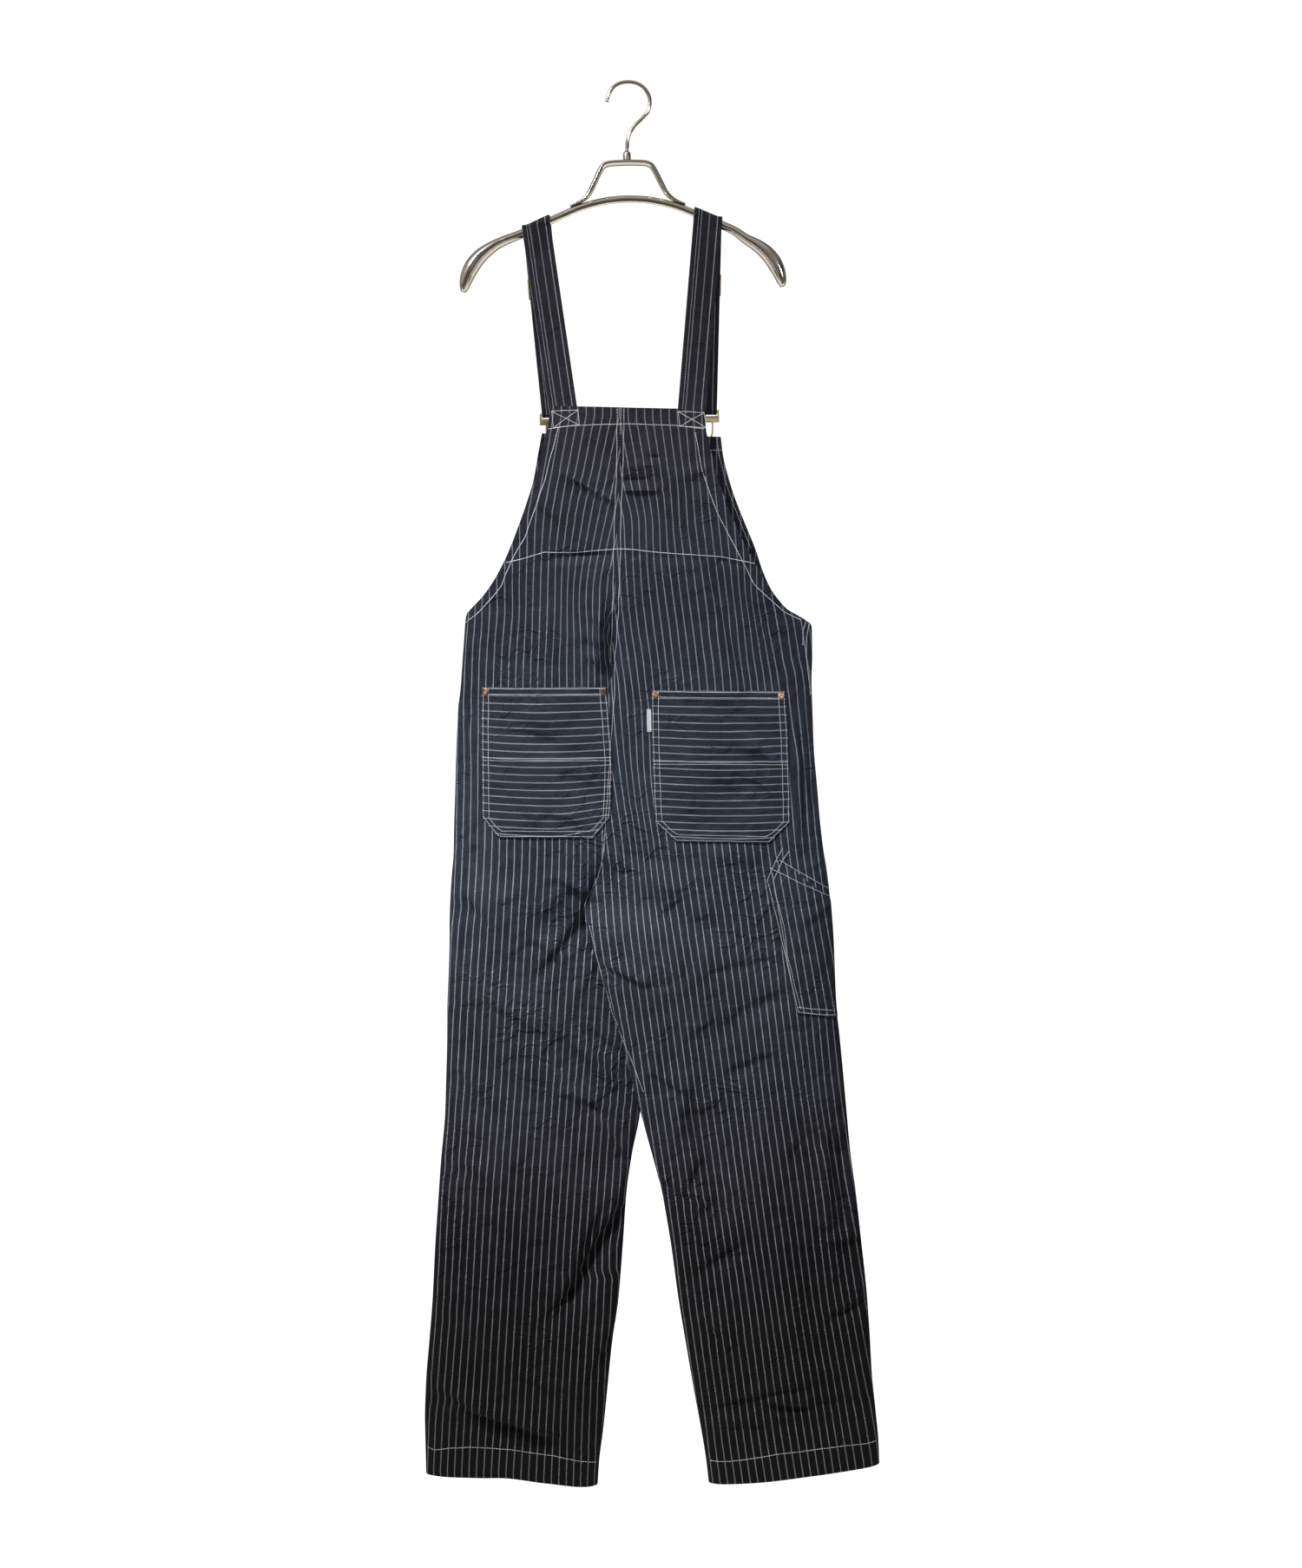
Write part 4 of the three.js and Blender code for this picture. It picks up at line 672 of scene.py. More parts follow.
def bar_at(x):
    """Height, half thickness, half depth and slope of the hanger's bar at x."""
    reach = abs(x - HANGER_X)
    z, half, deep = (float(look_up(BAR, "reach", n, reach)) for n in ("z", "half", "deep"))
    before = float(look_up(BAR, "reach", "z", reach - 4))
    slope = math.atan2(before - z, 4) * (1 if x < HANGER_X else -1)
    return z, half, deep, slope


def inside_back(x, z):
    """Depth in millimetres where a strap lies against the inside of the back."""
    depths = []
    for k in (-1, 0, 1):
        place, _ = touch(back_tree, x + k * 16, z, -1)
        if place is not None:
            depths.append(place.y / MM)
    return max(depths) + SHEET + 0.5 + STRAP["thickness"] / 2


def strap_route(half):
    """Centre line of a strap and the lean of its width at each point."""
    s = STRAPS[half]
    bar_z, bar_half, _, slope = bar_at(s["hanger"])
    back_lean = math.atan2(s["back"] - s["hanger"], bar_z - BACK_TOP)
    front_lean = math.atan2(s["front"] - s["hanger"], bar_z - BUCKLE_RAIL_Z)
    back_x = lambda z: s["hanger"] + math.tan(back_lean) * (bar_z - z)
    front_x = lambda z: s["hanger"] + math.tan(front_lean) * (bar_z - z)
    outboard = -1 if half == "left" else 1
    ply = STRAP["thickness"] / 2
    wrap_y = bar_at(s["hanger"] + outboard * STRAP["width"] / 2)[2] + ply + CLOSE
    wrap_z = bar_half + ply + 1.5
    route = []
    inside = inside_back(back_x(BACK_TOP - 6), BACK_TOP - 14)
    for z in np.linspace(STRAP_SEWN, BACK_TOP, 5):
        route.append((back_x(z), inside, z, back_lean))
    off = bar_z - 12
    for k in range(1, 24):
        share = k / 24
        bow = 1.6 * math.sin(math.pi * share)
        route.append((back_x(BACK_TOP + (off - BACK_TOP) * share), inside + (-wrap_y - inside) * share - bow,
                      BACK_TOP + (off - BACK_TOP) * share, back_lean))
    for k in range(0, 17):
        a = math.pi - math.pi * k / 16
        route.append((s["hanger"], wrap_y * math.cos(a), bar_z + wrap_z * math.sin(a), slope))
    near = BUCKLE_Y - (BUCKLE_PLATE / 2 + CLOSE + ply)
    far = BUCKLE_Y + (BUCKLE_PLATE / 2 + CLOSE + ply)
    lean = lambda share: front_lean * float(smoothstep(0.1, 0.6, share))
    for k in range(1, 21):
        share = k / 20
        z = off + (BUCKLE_RAIL_Z - off) * share
        route.append((front_x(z), wrap_y + (near - wrap_y) * share, z, lean(1 - share)))
    for k in range(1, 8):
        a = math.pi * k / 8
        route.append((s["front"], (near + far) / 2 - (far - near) / 2 * math.cos(a),
                      BUCKLE_RAIL_Z - (BUCKLE_RAIL / 2 + CLOSE + ply) * math.sin(a), 0.0))
    slider_off = SLIDER_PLATE / 2 + CLOSE + ply
    for k in range(0, 17):
        share = k / 16
        z = BUCKLE_RAIL_Z + (SLIDER_Z - BUCKLE_RAIL_Z) * share
        route.append((front_x(z), far + (SLIDER_Y + slider_off - far) * share, z, lean(share)))
    for k in range(1, 8):
        a = math.pi * k / 8
        route.append((front_x(SLIDER_Z), SLIDER_Y + slider_off * math.cos(a),
                      SLIDER_Z + (SLIDER_BAR / 2 + CLOSE + ply) * math.sin(a), front_lean))
    for z in (SLIDER_Z, SLIDER_Z - 4, SLIDER_Z - 8):
        route.append((front_x(z), SLIDER_Y - slider_off, z, front_lean))
    return np.array(route)


# %% Straps
strap_grids = {}
for half in ("left", "right"):
    route = strap_route(half)
    centre, lean = route[:, :3], route[:, 3]
    side = np.stack([np.cos(lean), 0 * lean, np.sin(lean)], axis=-1)
    along = np.gradient(centre, axis=0)
    along /= np.linalg.norm(along, axis=1, keepdims=True)
    side -= along * (side * along).sum(axis=1, keepdims=True)
    side /= np.linalg.norm(side, axis=1, keepdims=True)
    out = np.cross(side, along)
    if out[8, 1] > 0:
        out = -out
    across = np.linspace(-0.5, 0.5, 13)
    dome = 0.35 * (1 - (2 * across) ** 4)
    ply = STRAP["thickness"] / 2
    grid = (centre[:, None] + side[:, None] * (across * STRAP["width"])[None, :, None]
            + out[:, None] * (ply + dome - 0.35)[None, :, None])
    strap_grids[half] = (grid, out)
    length = np.concatenate([[0], np.cumsum(np.linalg.norm(np.diff(centre, axis=0), axis=1))])
    name = f"strap_{half}_cloth"
    u = np.broadcast_to(across * STRAP["width"] - STRAP_STRIPE_X, grid.shape[:2])
    v = np.broadcast_to(length[:, None], grid.shape[:2])
    cloth[name] = sheet_object(name, grid, u, v, -1, STRAP["thickness"] - 0.2)
    areas[name] = flat_area(grid)
    print(name, "length", round(float(length[-1])), "mm")

# %% [markdown]
# ## The hanger
# The bar is a bent tube whose arms slide in a middle sleeve and end in wide caps for the shoulders. A
# stamped bridge carries a turned ferrule with the hook's wire in it. The bar and bridge change their
# section along their length, so they are lofts through circles of named sizes, bridged one to the next. A
# curve with a round bevel would do for a plain tube but not for the flat caps. The hook is a loft of round
# rings along its wire.

# %% Loft helper
def select_rings(mesh, first, last):
    """Selects the points of whole rings, by their number."""
    bpy.ops.mesh.select_all(action="DESELECT")
    form = bmesh.from_edit_mesh(mesh)
    form.verts.index_update()
    for v in form.verts:
        v.select_set(first <= v.index < last)
    form.select_flush(True)
    bmesh.update_edit_mesh(mesh)


def loft(name, rings, sides):
    """A closed form through oval rings, each a place, a turn about Y and two half sizes, in millimetres."""
    mesh = bpy.data.meshes.new(name)
    obj = put_in_scene(name, mesh)
    only(obj)
    bpy.ops.object.mode_set(mode="EDIT")
    for (x, z), turn, (half, deep) in rings:
        middle = (x * MM, 0, z * MM)
        bpy.ops.mesh.primitive_circle_add(vertices=sides, radius=1.0, location=middle)
        bpy.ops.transform.resize(value=(half * MM, deep * MM, 1.0), center_override=middle)
        bpy.ops.transform.rotate(value=-turn, orient_axis="Y", center_override=middle)
    bpy.ops.mesh.select_mode(type="VERT")
    for k in range(len(rings) - 1):
        select_rings(mesh, k * sides, (k + 2) * sides)
        bpy.ops.mesh.bridge_edge_loops()
    for k in (0, len(rings) - 1):
        select_rings(mesh, k * sides, (k + 1) * sides)
        bpy.ops.mesh.edge_face_add()
    bpy.ops.mesh.select_all(action="SELECT")
    bpy.ops.mesh.normals_make_consistent(inside=False)
    bpy.ops.object.mode_set(mode="OBJECT")
    bpy.ops.object.shade_smooth_by_angle(angle=math.radians(60))
    return obj


def smooth_rows(rows, between):
    """Rows of numbers with more rows between them on a smooth curve through all of them."""
    rows = np.array(rows, float)
    knots = np.concatenate([[0], np.cumsum(np.hypot(*np.diff(rows[:, :2], axis=0).T))])
    at = np.concatenate([np.linspace(a, b, between, endpoint=False) for a,
        b in zip(knots, knots[1:])] + [[knots[-1]]])
    names = dict(key=knots, **{str(c): rows[:, c] for c in range(rows.shape[1])})
    return np.stack([look_up(names, "key", str(c), at) for c in range(rows.shape[1])], axis=1)


def ring_turns(rows):
    """Turn of each ring about Y so that it stands square to the path."""
    along = np.gradient(rows[:, :2], axis=0)
    return np.arctan2(along[:, 0], along[:, 1])


# %% Bar with its end caps
CAP = table("run z half deep", [
    (14, -195, 7.4, 14), (26, -204.5, 8.8, 15.5), (35, -215.5, 9.3, 16), (41.5, -228, 8.2, 15),
    (44.8, -238.5, 6.2, 12.5), (46, -245, 3.6, 8)])
ARM_EXTRA = {"left": 7.5, "right": -8.0}
ARM_FIXED = 130.0
ARM_FULLER = 0.9


def arm_rows(side):
    """Rows x, z, half, deep of one arm and its cap, from near the middle outwards."""
    sign = -1 if side == "left" else 1
    end = BAR["reach"][-1]
    rows = []
    for reach, z, half, deep in zip(*(BAR[n][1:] for n in ("reach", "z", "half", "deep"))):
        pulled = max(0.0, reach - ARM_FIXED) / (end - ARM_FIXED)
        rows.append((HANGER_X + sign * (reach + ARM_EXTRA[side] * pulled), z, half + ARM_FULLER * pulled,
            deep))
    for run, z, half, deep in zip(*(CAP[n] for n in ("run", "z", "half", "deep"))):
        rows.append((HANGER_X + sign * (end + ARM_EXTRA[side] + run), z, half, deep))
    return rows


middle = (HANGER_X, float(BAR["z"][0]), float(BAR["half"][0]), float(BAR["deep"][0]))
bar_rows = smooth_rows(arm_rows("left")[::-1] + [middle] + arm_rows("right"), 4)
turns = ring_turns(bar_rows)
bar = loft("hanger_bar_form", [((x, z), t, (h, d)) for (x, z, h, d), t in zip(bar_rows, turns)], 28)
print("bar", len(bar.data.polygons), "faces")

# %% Bridge
BRIDGE = [(-72, -143.8, 1.2, 4.5), (-60, -139, 2, 5.5), (-50, -131.5, 3, 6.5), (-41.5, -117, 3.4, 8),
          (-34.5, -103, 3.4, 8.5), (-29.5, -96.2, 3.3, 9), (-21, -93.3, 3.2, 9), (0, -92.6, 3.2, 9)]
half_rows = [(HANGER_X + x, z, h, d) for x, z, h, d in BRIDGE]
bridge_rows = half_rows + [(2 * HANGER_X - x, z, h, d) for x, z, h, d in half_rows[-2::-1]]
bridge_rows = smooth_rows(bridge_rows, 4)
turns = ring_turns(bridge_rows)
bridge = loft("hanger_bridge_form", [((x, z), t, (h, d)) for (x, z, h, d), t in zip(bridge_rows, turns)], 24)

# %% Hook
HOOK_WIRE = 2.35
HOOK = [(-30.3, -19.5), (-28.6, -12.2), (-23, -3.6), (-14.4, 1.7), (-3.8, 3.3), (7.6, 1.3), (16.6, -4.8),
        (21.8, -13.2), (23, -22), (20.6, -31.5), (13.5, -40), (4, -48.6), (-2.2, -56.6), (-5.6, -66),
        (-6.3, -75.8)]


def centripetal(points, steps):
    """Smooth curve through points, as the wire's CAD path."""
    p = np.array(points, float)
    p = np.vstack([2 * p[0] - p[1], p, 2 * p[-1] - p[-2]])
    out = []
    for k in range(1, len(p) - 2):
        p0, p1, p2, p3 = p[k - 1:k + 3]
        d = [np.linalg.norm(b - a) ** 0.5 for a, b in ((p0, p1), (p1, p2), (p2, p3))]
        m1 = (p1 - p0) / d[0] - (p2 - p0) / (d[0] + d[1]) + (p2 - p1) / d[1]
        m2 = (p2 - p1) / d[1] - (p3 - p1) / (d[1] + d[2]) + (p3 - p2) / d[2]
        m1, m2 = m1 * d[1], m2 * d[1]
        for t in np.arange(steps) / steps:
            out.append((2 * t ** 3 - 3 * t ** 2 + 1) * p1 + (t ** 3 - 2 * t ** 2 + t) * m1
                       + (3 * t ** 2 - 2 * t ** 3) * p2 + (t ** 3 - t ** 2) * m2)
    out.append(p[-2])
    return np.array(out)


path = centripetal(HOOK, 6)
ends = np.gradient(path, axis=0)
rows = [(path[0] - ends[0] / np.linalg.norm(ends[0]) * 0.1, 1.5), (path[0], HOOK_WIRE - 0.25)]
rows += [(p, HOOK_WIRE) for p in path[1:]]
hook_rows = np.array([(p[0], p[1], r, r) for p, r in rows])
turns = ring_turns(hook_rows)
hook = loft("hook_form", [((x, z), t, (h, d)) for (x, z, h, d), t in zip(hook_rows, turns)], 20)
print("hook", len(hook.data.polygons), "faces")


# %% Turned pieces
def turned(name, profile, sides):
    """A form spun round Z from a profile of radius and height in millimetres."""
    mesh = bpy.data.meshes.new(name)
    obj = put_in_scene(name, mesh)
    only(obj)
    bpy.ops.object.mode_set(mode="EDIT")
    form = bmesh.from_edit_mesh(mesh)
    points = [form.verts.new((r * MM, 0, h * MM)) for r, h in profile]
    for a, b in zip(points, points[1:]):
        form.edges.new((a, b))
    bmesh.update_edit_mesh(mesh)
    bpy.ops.mesh.select_all(action="SELECT")
    bpy.ops.mesh.spin(steps=sides, angle=2 * math.pi, center=(0, 0, 0), axis=(0, 0, 1))
    bpy.ops.mesh.select_all(action="SELECT")
    bpy.ops.mesh.remove_doubles(threshold=1e-6)
    bpy.ops.mesh.normals_make_consistent(inside=False)
    bpy.ops.object.mode_set(mode="OBJECT")
    bpy.ops.object.shade_smooth_by_angle(angle=math.radians(40))
    return obj


def move_mesh(obj, matrix):
    """Puts a form in its place with its object left at the origin."""
    obj.data.transform(matrix)
    obj.data.update()


ferrule = turned("ferrule_form", [
    (0, -89.6), (4.6, -89.6), (5, -89.2), (5, -83.4), (4.8, -82), (4.2, -80.4), (3.2, -79.4), (2, -78.9),
    (1.9, -78.5), (2.3, -78), (2.4, -77.4), (2.2, -76.8), (1.8, -76.2), (0, -76.2)], 32)
move_mesh(ferrule, Matrix.Translation((HANGER_X * MM, 0, 0)))

# %% [markdown]
# ## Buckles, sliders, buttons and rivets
# The small metal pieces hide behind the cloth apart from the four copper rivets on the seat pockets. A
# rivet is a low domed cap with a nib in its middle, turned like the real burr. Buttons are turned caps
# on a shank. The buckles and sliders are the solids themselves with their edges rounded by a bevel.

# %% Rivets and buttons
def aimed(place, normal):
    """Matrix that stands a turned form on the cloth."""
    return Matrix.Translation(place) @ normal.to_track_quat("Z", "Y").to_matrix().to_4x4()


rivet_profile = [(0, -0.9), (4.0, -0.9), (4.2, -0.6), (4.2, 0.35), (3.9, 0.75), (3.2, 0.95), (2.2, 0.85),
    (1.6, 0.6),
                 (1.25, 0.55), (1.2, 1.05), (0.8, 1.3), (0, 1.35)]
RIVET_PLACES = {"left": [(-201.5, -748), (-50, -750)], "right": [(16.8, -755), (179.5, -760)]}
pocket_tree = tree_of("pocket_left_cloth", "pocket_right_cloth")
metal = {}
for half, places in RIVET_PLACES.items():
    for k, (x, z) in enumerate(places):
        place, normal = touch(pocket_tree, x, z, -1, 0.9)
        rivet = turned(f"rivet_{half}_{k + 1}_form", rivet_profile, 24)
        move_mesh(rivet, aimed(place, normal))
        metal[f"rivet_{half}_{k + 1}"] = (rivet, "copper")

button_profile = [(0, 0), (2.8, 0), (3, 0.4), (3, 3.6), (7.6, 3.6), (8.4, 4.2), (8.5, 5.0), (8.1, 5.7),
    (7.2, 6),
                  (6.4, 5.7), (3, 5.5), (0, 5.5)]
side_profile = [(0, 0), (3, 0), (3, 0.6), (6.4, 0.6), (7, 1.1), (7, 2), (6.6, 2.6), (5.9, 2.8), (5.2, 2.5),
    (0, 2.4)]
SIDE_BUTTON_Z = (-682.0, -722.0)
for half in ("left", "right"):
    place, normal = touch(front_tree, STRAPS[half]["front"], -449, 1, 0.3)
    button = turned(f"bib_button_{half}_form", button_profile, 28)
    move_mesh(button, aimed(place, normal))
    metal[f"bib_button_{half}"] = (button, "gilt_metal")
    for k, z in enumerate(SIDE_BUTTON_Z):
        inset = 22 if half == "left" else -22
        x = float(outer_edge("front", half, np.array(z))) + inset
        place, normal = touch(front_tree, x, z, 1, 0.3)
        button = turned(f"side_button_{half}_{k + 1}_form", side_profile, 24)
        move_mesh(button, aimed(place, normal))
        metal[f"side_button_{half}_{k + 1}"] = (button, "gilt_metal")
print(len(metal), "turned pieces on the cloth")


# %% Buckles and sliders
def softened(node, width, narrow=1.0):
    """A copy of a CAD node, its corners merged and its edges rounded, and a little narrower when asked."""
    source = bpy.data.objects[node]
    obj = put_in_scene(f"{node}_form", source.data.copy())
    obj.data.transform(source.matrix_world)
    obj.data.materials.clear()
    only(obj)
    middle = sum((v.co for v in obj.data.vertices), Vector()) / len(obj.data.vertices)
    bpy.ops.object.mode_set(mode="EDIT")
    bpy.ops.mesh.select_all(action="SELECT")
    bpy.ops.transform.resize(value=(narrow, 1, 1), center_override=middle)
    bpy.ops.mesh.remove_doubles(threshold=1e-5)
    bpy.ops.mesh.tris_convert_to_quads()
    bpy.ops.object.mode_set(mode="OBJECT")
    edge = obj.modifiers.new("edge", "BEVEL")
    edge.width = width * MM
    edge.segments = 2
    edge.limit_method = "ANGLE"
    edge.angle_limit = math.radians(40)
    bpy.ops.object.modifier_apply(modifier=edge.name)
    bpy.ops.object.shade_smooth_by_angle(angle=math.radians(40))
    return obj


SLIDER_NARROW = 0.93
for half in ("left", "right"):
    metal[f"buckle_{half}"] = (softened(f"buckle_{half}", 0.5), "gilt_metal")
    metal[f"slider_{half}"] = (softened(f"slider_{half}", 0.5, SLIDER_NARROW), "gilt_metal")
metal["hanger_bar"] = (bar, "nickel")
metal["hanger_bridge"] = (bridge, "nickel")
metal["hook"] = (hook, "nickel")
metal["ferrule"] = (ferrule, "nickel")
print(len(metal), "metal pieces")

# %% [markdown]
# ## Stitching
# The seams are sewn with a thick pale thread, which shows as rows of small bright stitches. One stitch is
# modelled as a short round-ended piece of thread, and copies of it are set along each seam line, flat on
# the cloth with a gap between one and the next. The lines are listed and measured like the seams on the
# garment. A drawn texture could show the thread too, but real stitches catch the light and hold up close to
# the camera.

# %% Seam lines
SEAM_LINES = [
    # places x, z down a line, pitch, unevenness across the line
    ([(-24.9, -393), (-27.1, -468), (-31.0, -534), (-32.8, -569), (-35.3, -644), (-38.4, -688),
    (-39.5, -712)], 2.6, 0.25),
    ([(-16.1, -393), (-19.1, -468), (-23.2, -534), (-23.9, -569), (-28.1, -644), (-31.7, -688),
    (-34.4, -712)], 2.6, 0.25),
    ([(-34.4, -712), (-35.3, -755), (-40.8, -810), (-45.4, -867), (-54.3, -964), (-61.9, -994),
    (-77.7, -1026),
      (-82.2, -1043)], 3.0, 0.2),
    ([(-74.7, -1059), (-62.2, -1117), (-47.7, -1180), (-23.3, -1240), (-7.9, -1284)], 3.2, 0.15),
    ([(-113.4, -417), (-81.4, -413.3), (-13.2, -412.3), (50.5, -415.5), (84.6, -420.4)], 2.8, 0.1),
    ([(-170.5, -584), (-151.6, -580), (-121.4, -571.7), (-84.9, -572.8), (-40.5, -569.8), (-27.2, -568.9),
    (-7.3, -570.3),
      (25.8, -574.7), (102.2, -581), (132.1, -587), (146.4, -590.6)], 2.7, 0.1),
    ([(73.5, -424.5), (81.6, -473.5), (99.6, -525.1), (123.4, -571.5), (133.1, -590.3), (145.1, -615.9),
    (164, -634.5),
      (185.3, -653.2), (207.9, -664.9)], 3.0, 0.15),
    ([(-99.6, -415.1), (-110.4, -450.6), (-119.4, -483.1), (-137, -529.8), (-145.9, -552.6), (-162.7, -579.7),
      (-177.5, -613), (-192.2, -631.1), (-212, -649.7), (-225.1, -659.7)], 2.6, 0.25),
    ([(215.7, -658.5), (209.2, -676), (208.4, -696)], 3.0, 0.1),
    ([(219.5, -660), (213.7, -683.9), (212.9, -710.7), (217.5, -748.1), (218.4, -761.6)], 3.0, 0.1),
    ([(-314.9, -1789.1), (-304.8, -1791.8), (-282.7, -1787.2), (-254.9, -1785), (-227.5, -1787.4),
    (-200.2, -1789.1),
      (-173, -1794.9), (-145.9, -1800.2), (-118.8, -1807.4), (-101, -1812.2), (-82, -1815.8)], 3.2, 0.15),
    ([(75, -1815.4), (93.6, -1815), (119.8, -1811.5), (165, -1802.2), (209.1, -1797.9), (254.5, -1793.5),
    (291, -1792.7),
      (304.9, -1791.7)], 3.2, 0.15),
    ([(180.5, -959.5), (172.5, -972), (166, -986.5), (159.4, -1001.4), (169.9, -1045), (180.2, -1093),
    (199.5, -1180)], 3.0, 0.2),
    ([(188.3, -963.5), (179, -977), (167, -1001), (170, -1020), (181, -1062), (185.3, -1103),
    (202.5, -1177)], 3.0, 0.3),
    ([(175.5, -975), (244.8, -1018.5)], 3.0, 0.2),
    ([(163, -985), (245, -1028)], 3.0, 0.2),
    ([(199, -1173), (250, -1181)], 3.0, 0.2),
    ([(199, -1180), (250, -1187.5)], 3.0, 0.2),
]
FINE_LINES = SEAM_LINES[:3]
for half, p in POCKETS.items():
    left_side = [(x, z) for x, z in zip(p["x0"], p["z"])]
    right_side = [(x, z + p["tilt"]) for x, z in zip(p["x1"], p["z"])]

    def inner(points, shift, top, low):
        return [(x + shift, max(min(z, p["z"][0] - top), p["z"][-1] + low)) for x, z in points]

    for gap in (2.0, 9.0):
        FINE_LINES.append((inner(left_side[:-1], gap, 1.5,
            0) + [(left_side[-1][0] + gap * 0.45, p["z"][-1] + gap)], 2.8, 0.15))
        FINE_LINES.append((inner(right_side[:-1], -gap, 1.5,
            0) + [(right_side[-1][0] - gap * 0.45, p["z"][-1] + p["tilt"] + gap)], 2.8, 0.15))
        FINE_LINES.append(([(left_side[-1][0] + gap * 0.45, p["z"][-1] + gap),
                            (right_side[-1][0] - gap * 0.45, p["z"][-1] + p["tilt"] + gap)], 2.8, 0.15))
        FINE_LINES.append(([(left_side[0][0] + 2, p["z"][0] - gap + 0.5),
            (right_side[0][0] - 2, p["z"][0] + p["tilt"] - gap + 0.5)], 2.8, 0.1))
    for z in (-833.5, -837.2) if half == "left" else (-841.5, -845.2):
        FINE_LINES.append(([(p["x0"][2] + 2, z), ((p["x0"][2] + p["x1"][2]) / 2, z - 1.5),
            (p["x1"][2] - 2, z + p["tilt"])], 2.8, 0.1))

# %% Stitches
bpy.ops.object.select_all(action="DESELECT")
bpy.ops.mesh.primitive_uv_sphere_add(segments=6, ring_count=4, radius=1.0)
pattern = bpy.context.active_object
STITCH_POINTS = np.array([v.co[:] for v in pattern.data.vertices])[:, [2, 0, 1]]
STITCH_FACES = [list(p.vertices) for p in pattern.data.polygons]
bpy.data.objects.remove(pattern)
THREAD = {"half_length": 1.25, "half_width": 0.46, "rise": 0.3}
sewn_tree = tree_of(*[n for n in cloth if not n.startswith(("front", "strap"))])


def walk(points, pitch):
    """Evenly spaced places and directions along a line."""
    p = np.array(points, float)
    s = np.concatenate([[0], np.cumsum(np.linalg.norm(np.diff(p, axis=0), axis=1))])
    at = np.arange(pitch / 2, s[-1], pitch)
    place = np.stack([np.interp(at, s, p[:, c]) for c in range(p.shape[1])], axis=1)
    ahead = np.stack([np.interp(at + 0.5, s, p[:, c]) for c in range(p.shape[1])], axis=1)
    back = np.stack([np.interp(at - 0.5, s, p[:, c]) for c in range(p.shape[1])], axis=1)
    step = ahead - back
    return place, step / np.linalg.norm(step, axis=1, keepdims=True)


def stitch_object(name, frames, scale=1.0):
    """All stitches of a piece as one mesh, from their places, directions and cloth normals."""
    points, faces = [], []
    for place, along, normal in frames:
        across = np.cross(normal, along)
        form = (STITCH_POINTS[:, :1] * along * THREAD["half_length"] * scale
                + STITCH_POINTS[:, 1:2] * across * THREAD["half_width"] * scale
                + STITCH_POINTS[:, 2:3] * normal * THREAD["rise"] * scale)
        start = len(points) * len(STITCH_POINTS)
        points.append(place + normal * 0.12 + form)
        faces += [[v + start for v in f] for f in STITCH_FACES]
    mesh = bpy.data.meshes.new(name)
    mesh.from_pydata((np.concatenate(points) * MM).tolist(), [], faces)
    mesh.shade_smooth()
    obj = put_in_scene(name, mesh)
    return obj


def sew(tree, lines, facing):
    frames = []
    for number, (points, pitch, uneven) in enumerate(lines):
        place, along = walk(points, pitch)
        for k, ((x, z), (dx, dz)) in enumerate(zip(place, along)):
            wander = uneven * math.sin(12.9898 * k + 4.1 * number)
            hit, normal = touch(tree, x - dz * wander, z + dx * wander, facing)
            if hit is None:
                continue
            normal = np.array(normal)
            ahead = np.array([dx, 0, dz])
            ahead -= normal * ahead.dot(normal)
            frames.append((np.array(hit) / MM, ahead / np.linalg.norm(ahead), normal))
    return frames


threads = {"back_stitches": stitch_object("back_stitches", sew(sewn_tree, SEAM_LINES[3:], -1), 1.08),
           "pocket_stitches": stitch_object("pocket_stitches", sew(sewn_tree, FINE_LINES, -1), 0.92)}
FRONT_LINES = [
    ([(-118, -446), (0, -446), (102, -446)], 3.0, 0.1),
    ([(-212, -1789), (-196, -1790)], 3.0, 0.1),
    ([(-308, -1790), (-200, -1789), (-90, -1806)], 3.2, 0.1),
    ([(80, -1806), (180, -1798), (300, -1790)], 3.2, 0.1),
    ([(-215, -742), (-100, -742), (0, -742), (100, -742), (205, -742)], 3.2, 0.1),
]
INSIDE_LINES = [([(-121, -446), (-98, -446)], 3.0, 0.1), ([(80, -446), (106, -446)], 3.0, 0.1)]
for side, inset in (("left", 6.0), ("right", -6.0)):
    edge = [(x + inset, z) for x, z in zip(FRONT_EDGES[side], FRONT_EDGES["z"]) if -600 < z]
    INSIDE_LINES.append((edge, 3.0, 0.1))
threads["front_stitches"] = stitch_object(
    "front_stitches", sew(front_tree, FRONT_LINES, 1) + sew(front_tree, INSIDE_LINES, -1))

# %% Strap stitches
STRAP_SEAMS = (-11.8, 12.2)
for half in ("left", "right"):
    grid, out = strap_grids[half]
    frames = []
    for across in STRAP_SEAMS:
        share = across / STRAP["width"] + 0.5
        column_at = share * (grid.shape[1] - 1)
        low = int(column_at)
        line = grid[:, low] + (grid[:, low + 1] - grid[:, low]) * (column_at - low)
        place, along = walk(line, 2.6)
        s = np.concatenate([[0], np.cumsum(np.linalg.norm(np.diff(line, axis=0), axis=1))])
        at = np.arange(1.3, s[-1], 2.6)
        normal = np.stack([np.interp(at, s, out[:, c]) for c in range(3)], axis=1)
        normal /= np.linalg.norm(normal, axis=1, keepdims=True)
        frames += list(zip(place, along, normal))
        frames += list(zip(place - normal * (STRAP["thickness"] - 0.1), along, -normal))
    threads[f"strap_{half}_stitches"] = stitch_object(f"strap_{half}_stitches", frames, 0.85)
print({n: len(o.data.polygons) for n, o in threads.items()})

# %% Crossed stitches where the straps are sewn in
BOXES = {"left": [(-108, -395), (-74.5, -394), (-73.5, -413), (-106, -415.5)],
         "right": [(52, -398), (85, -400), (88, -419), (54.5, -416.5)]}
lines = []
for a, b, c, d in BOXES.values():
    lines += [([a, b, c, d, a], 2.6, 0.2), ([a, c], 2.6, 0.2), ([b, d], 2.6, 0.2)]
threads["box_stitches"] = stitch_object("box_stitches", sew(sewn_tree, lines, -1))
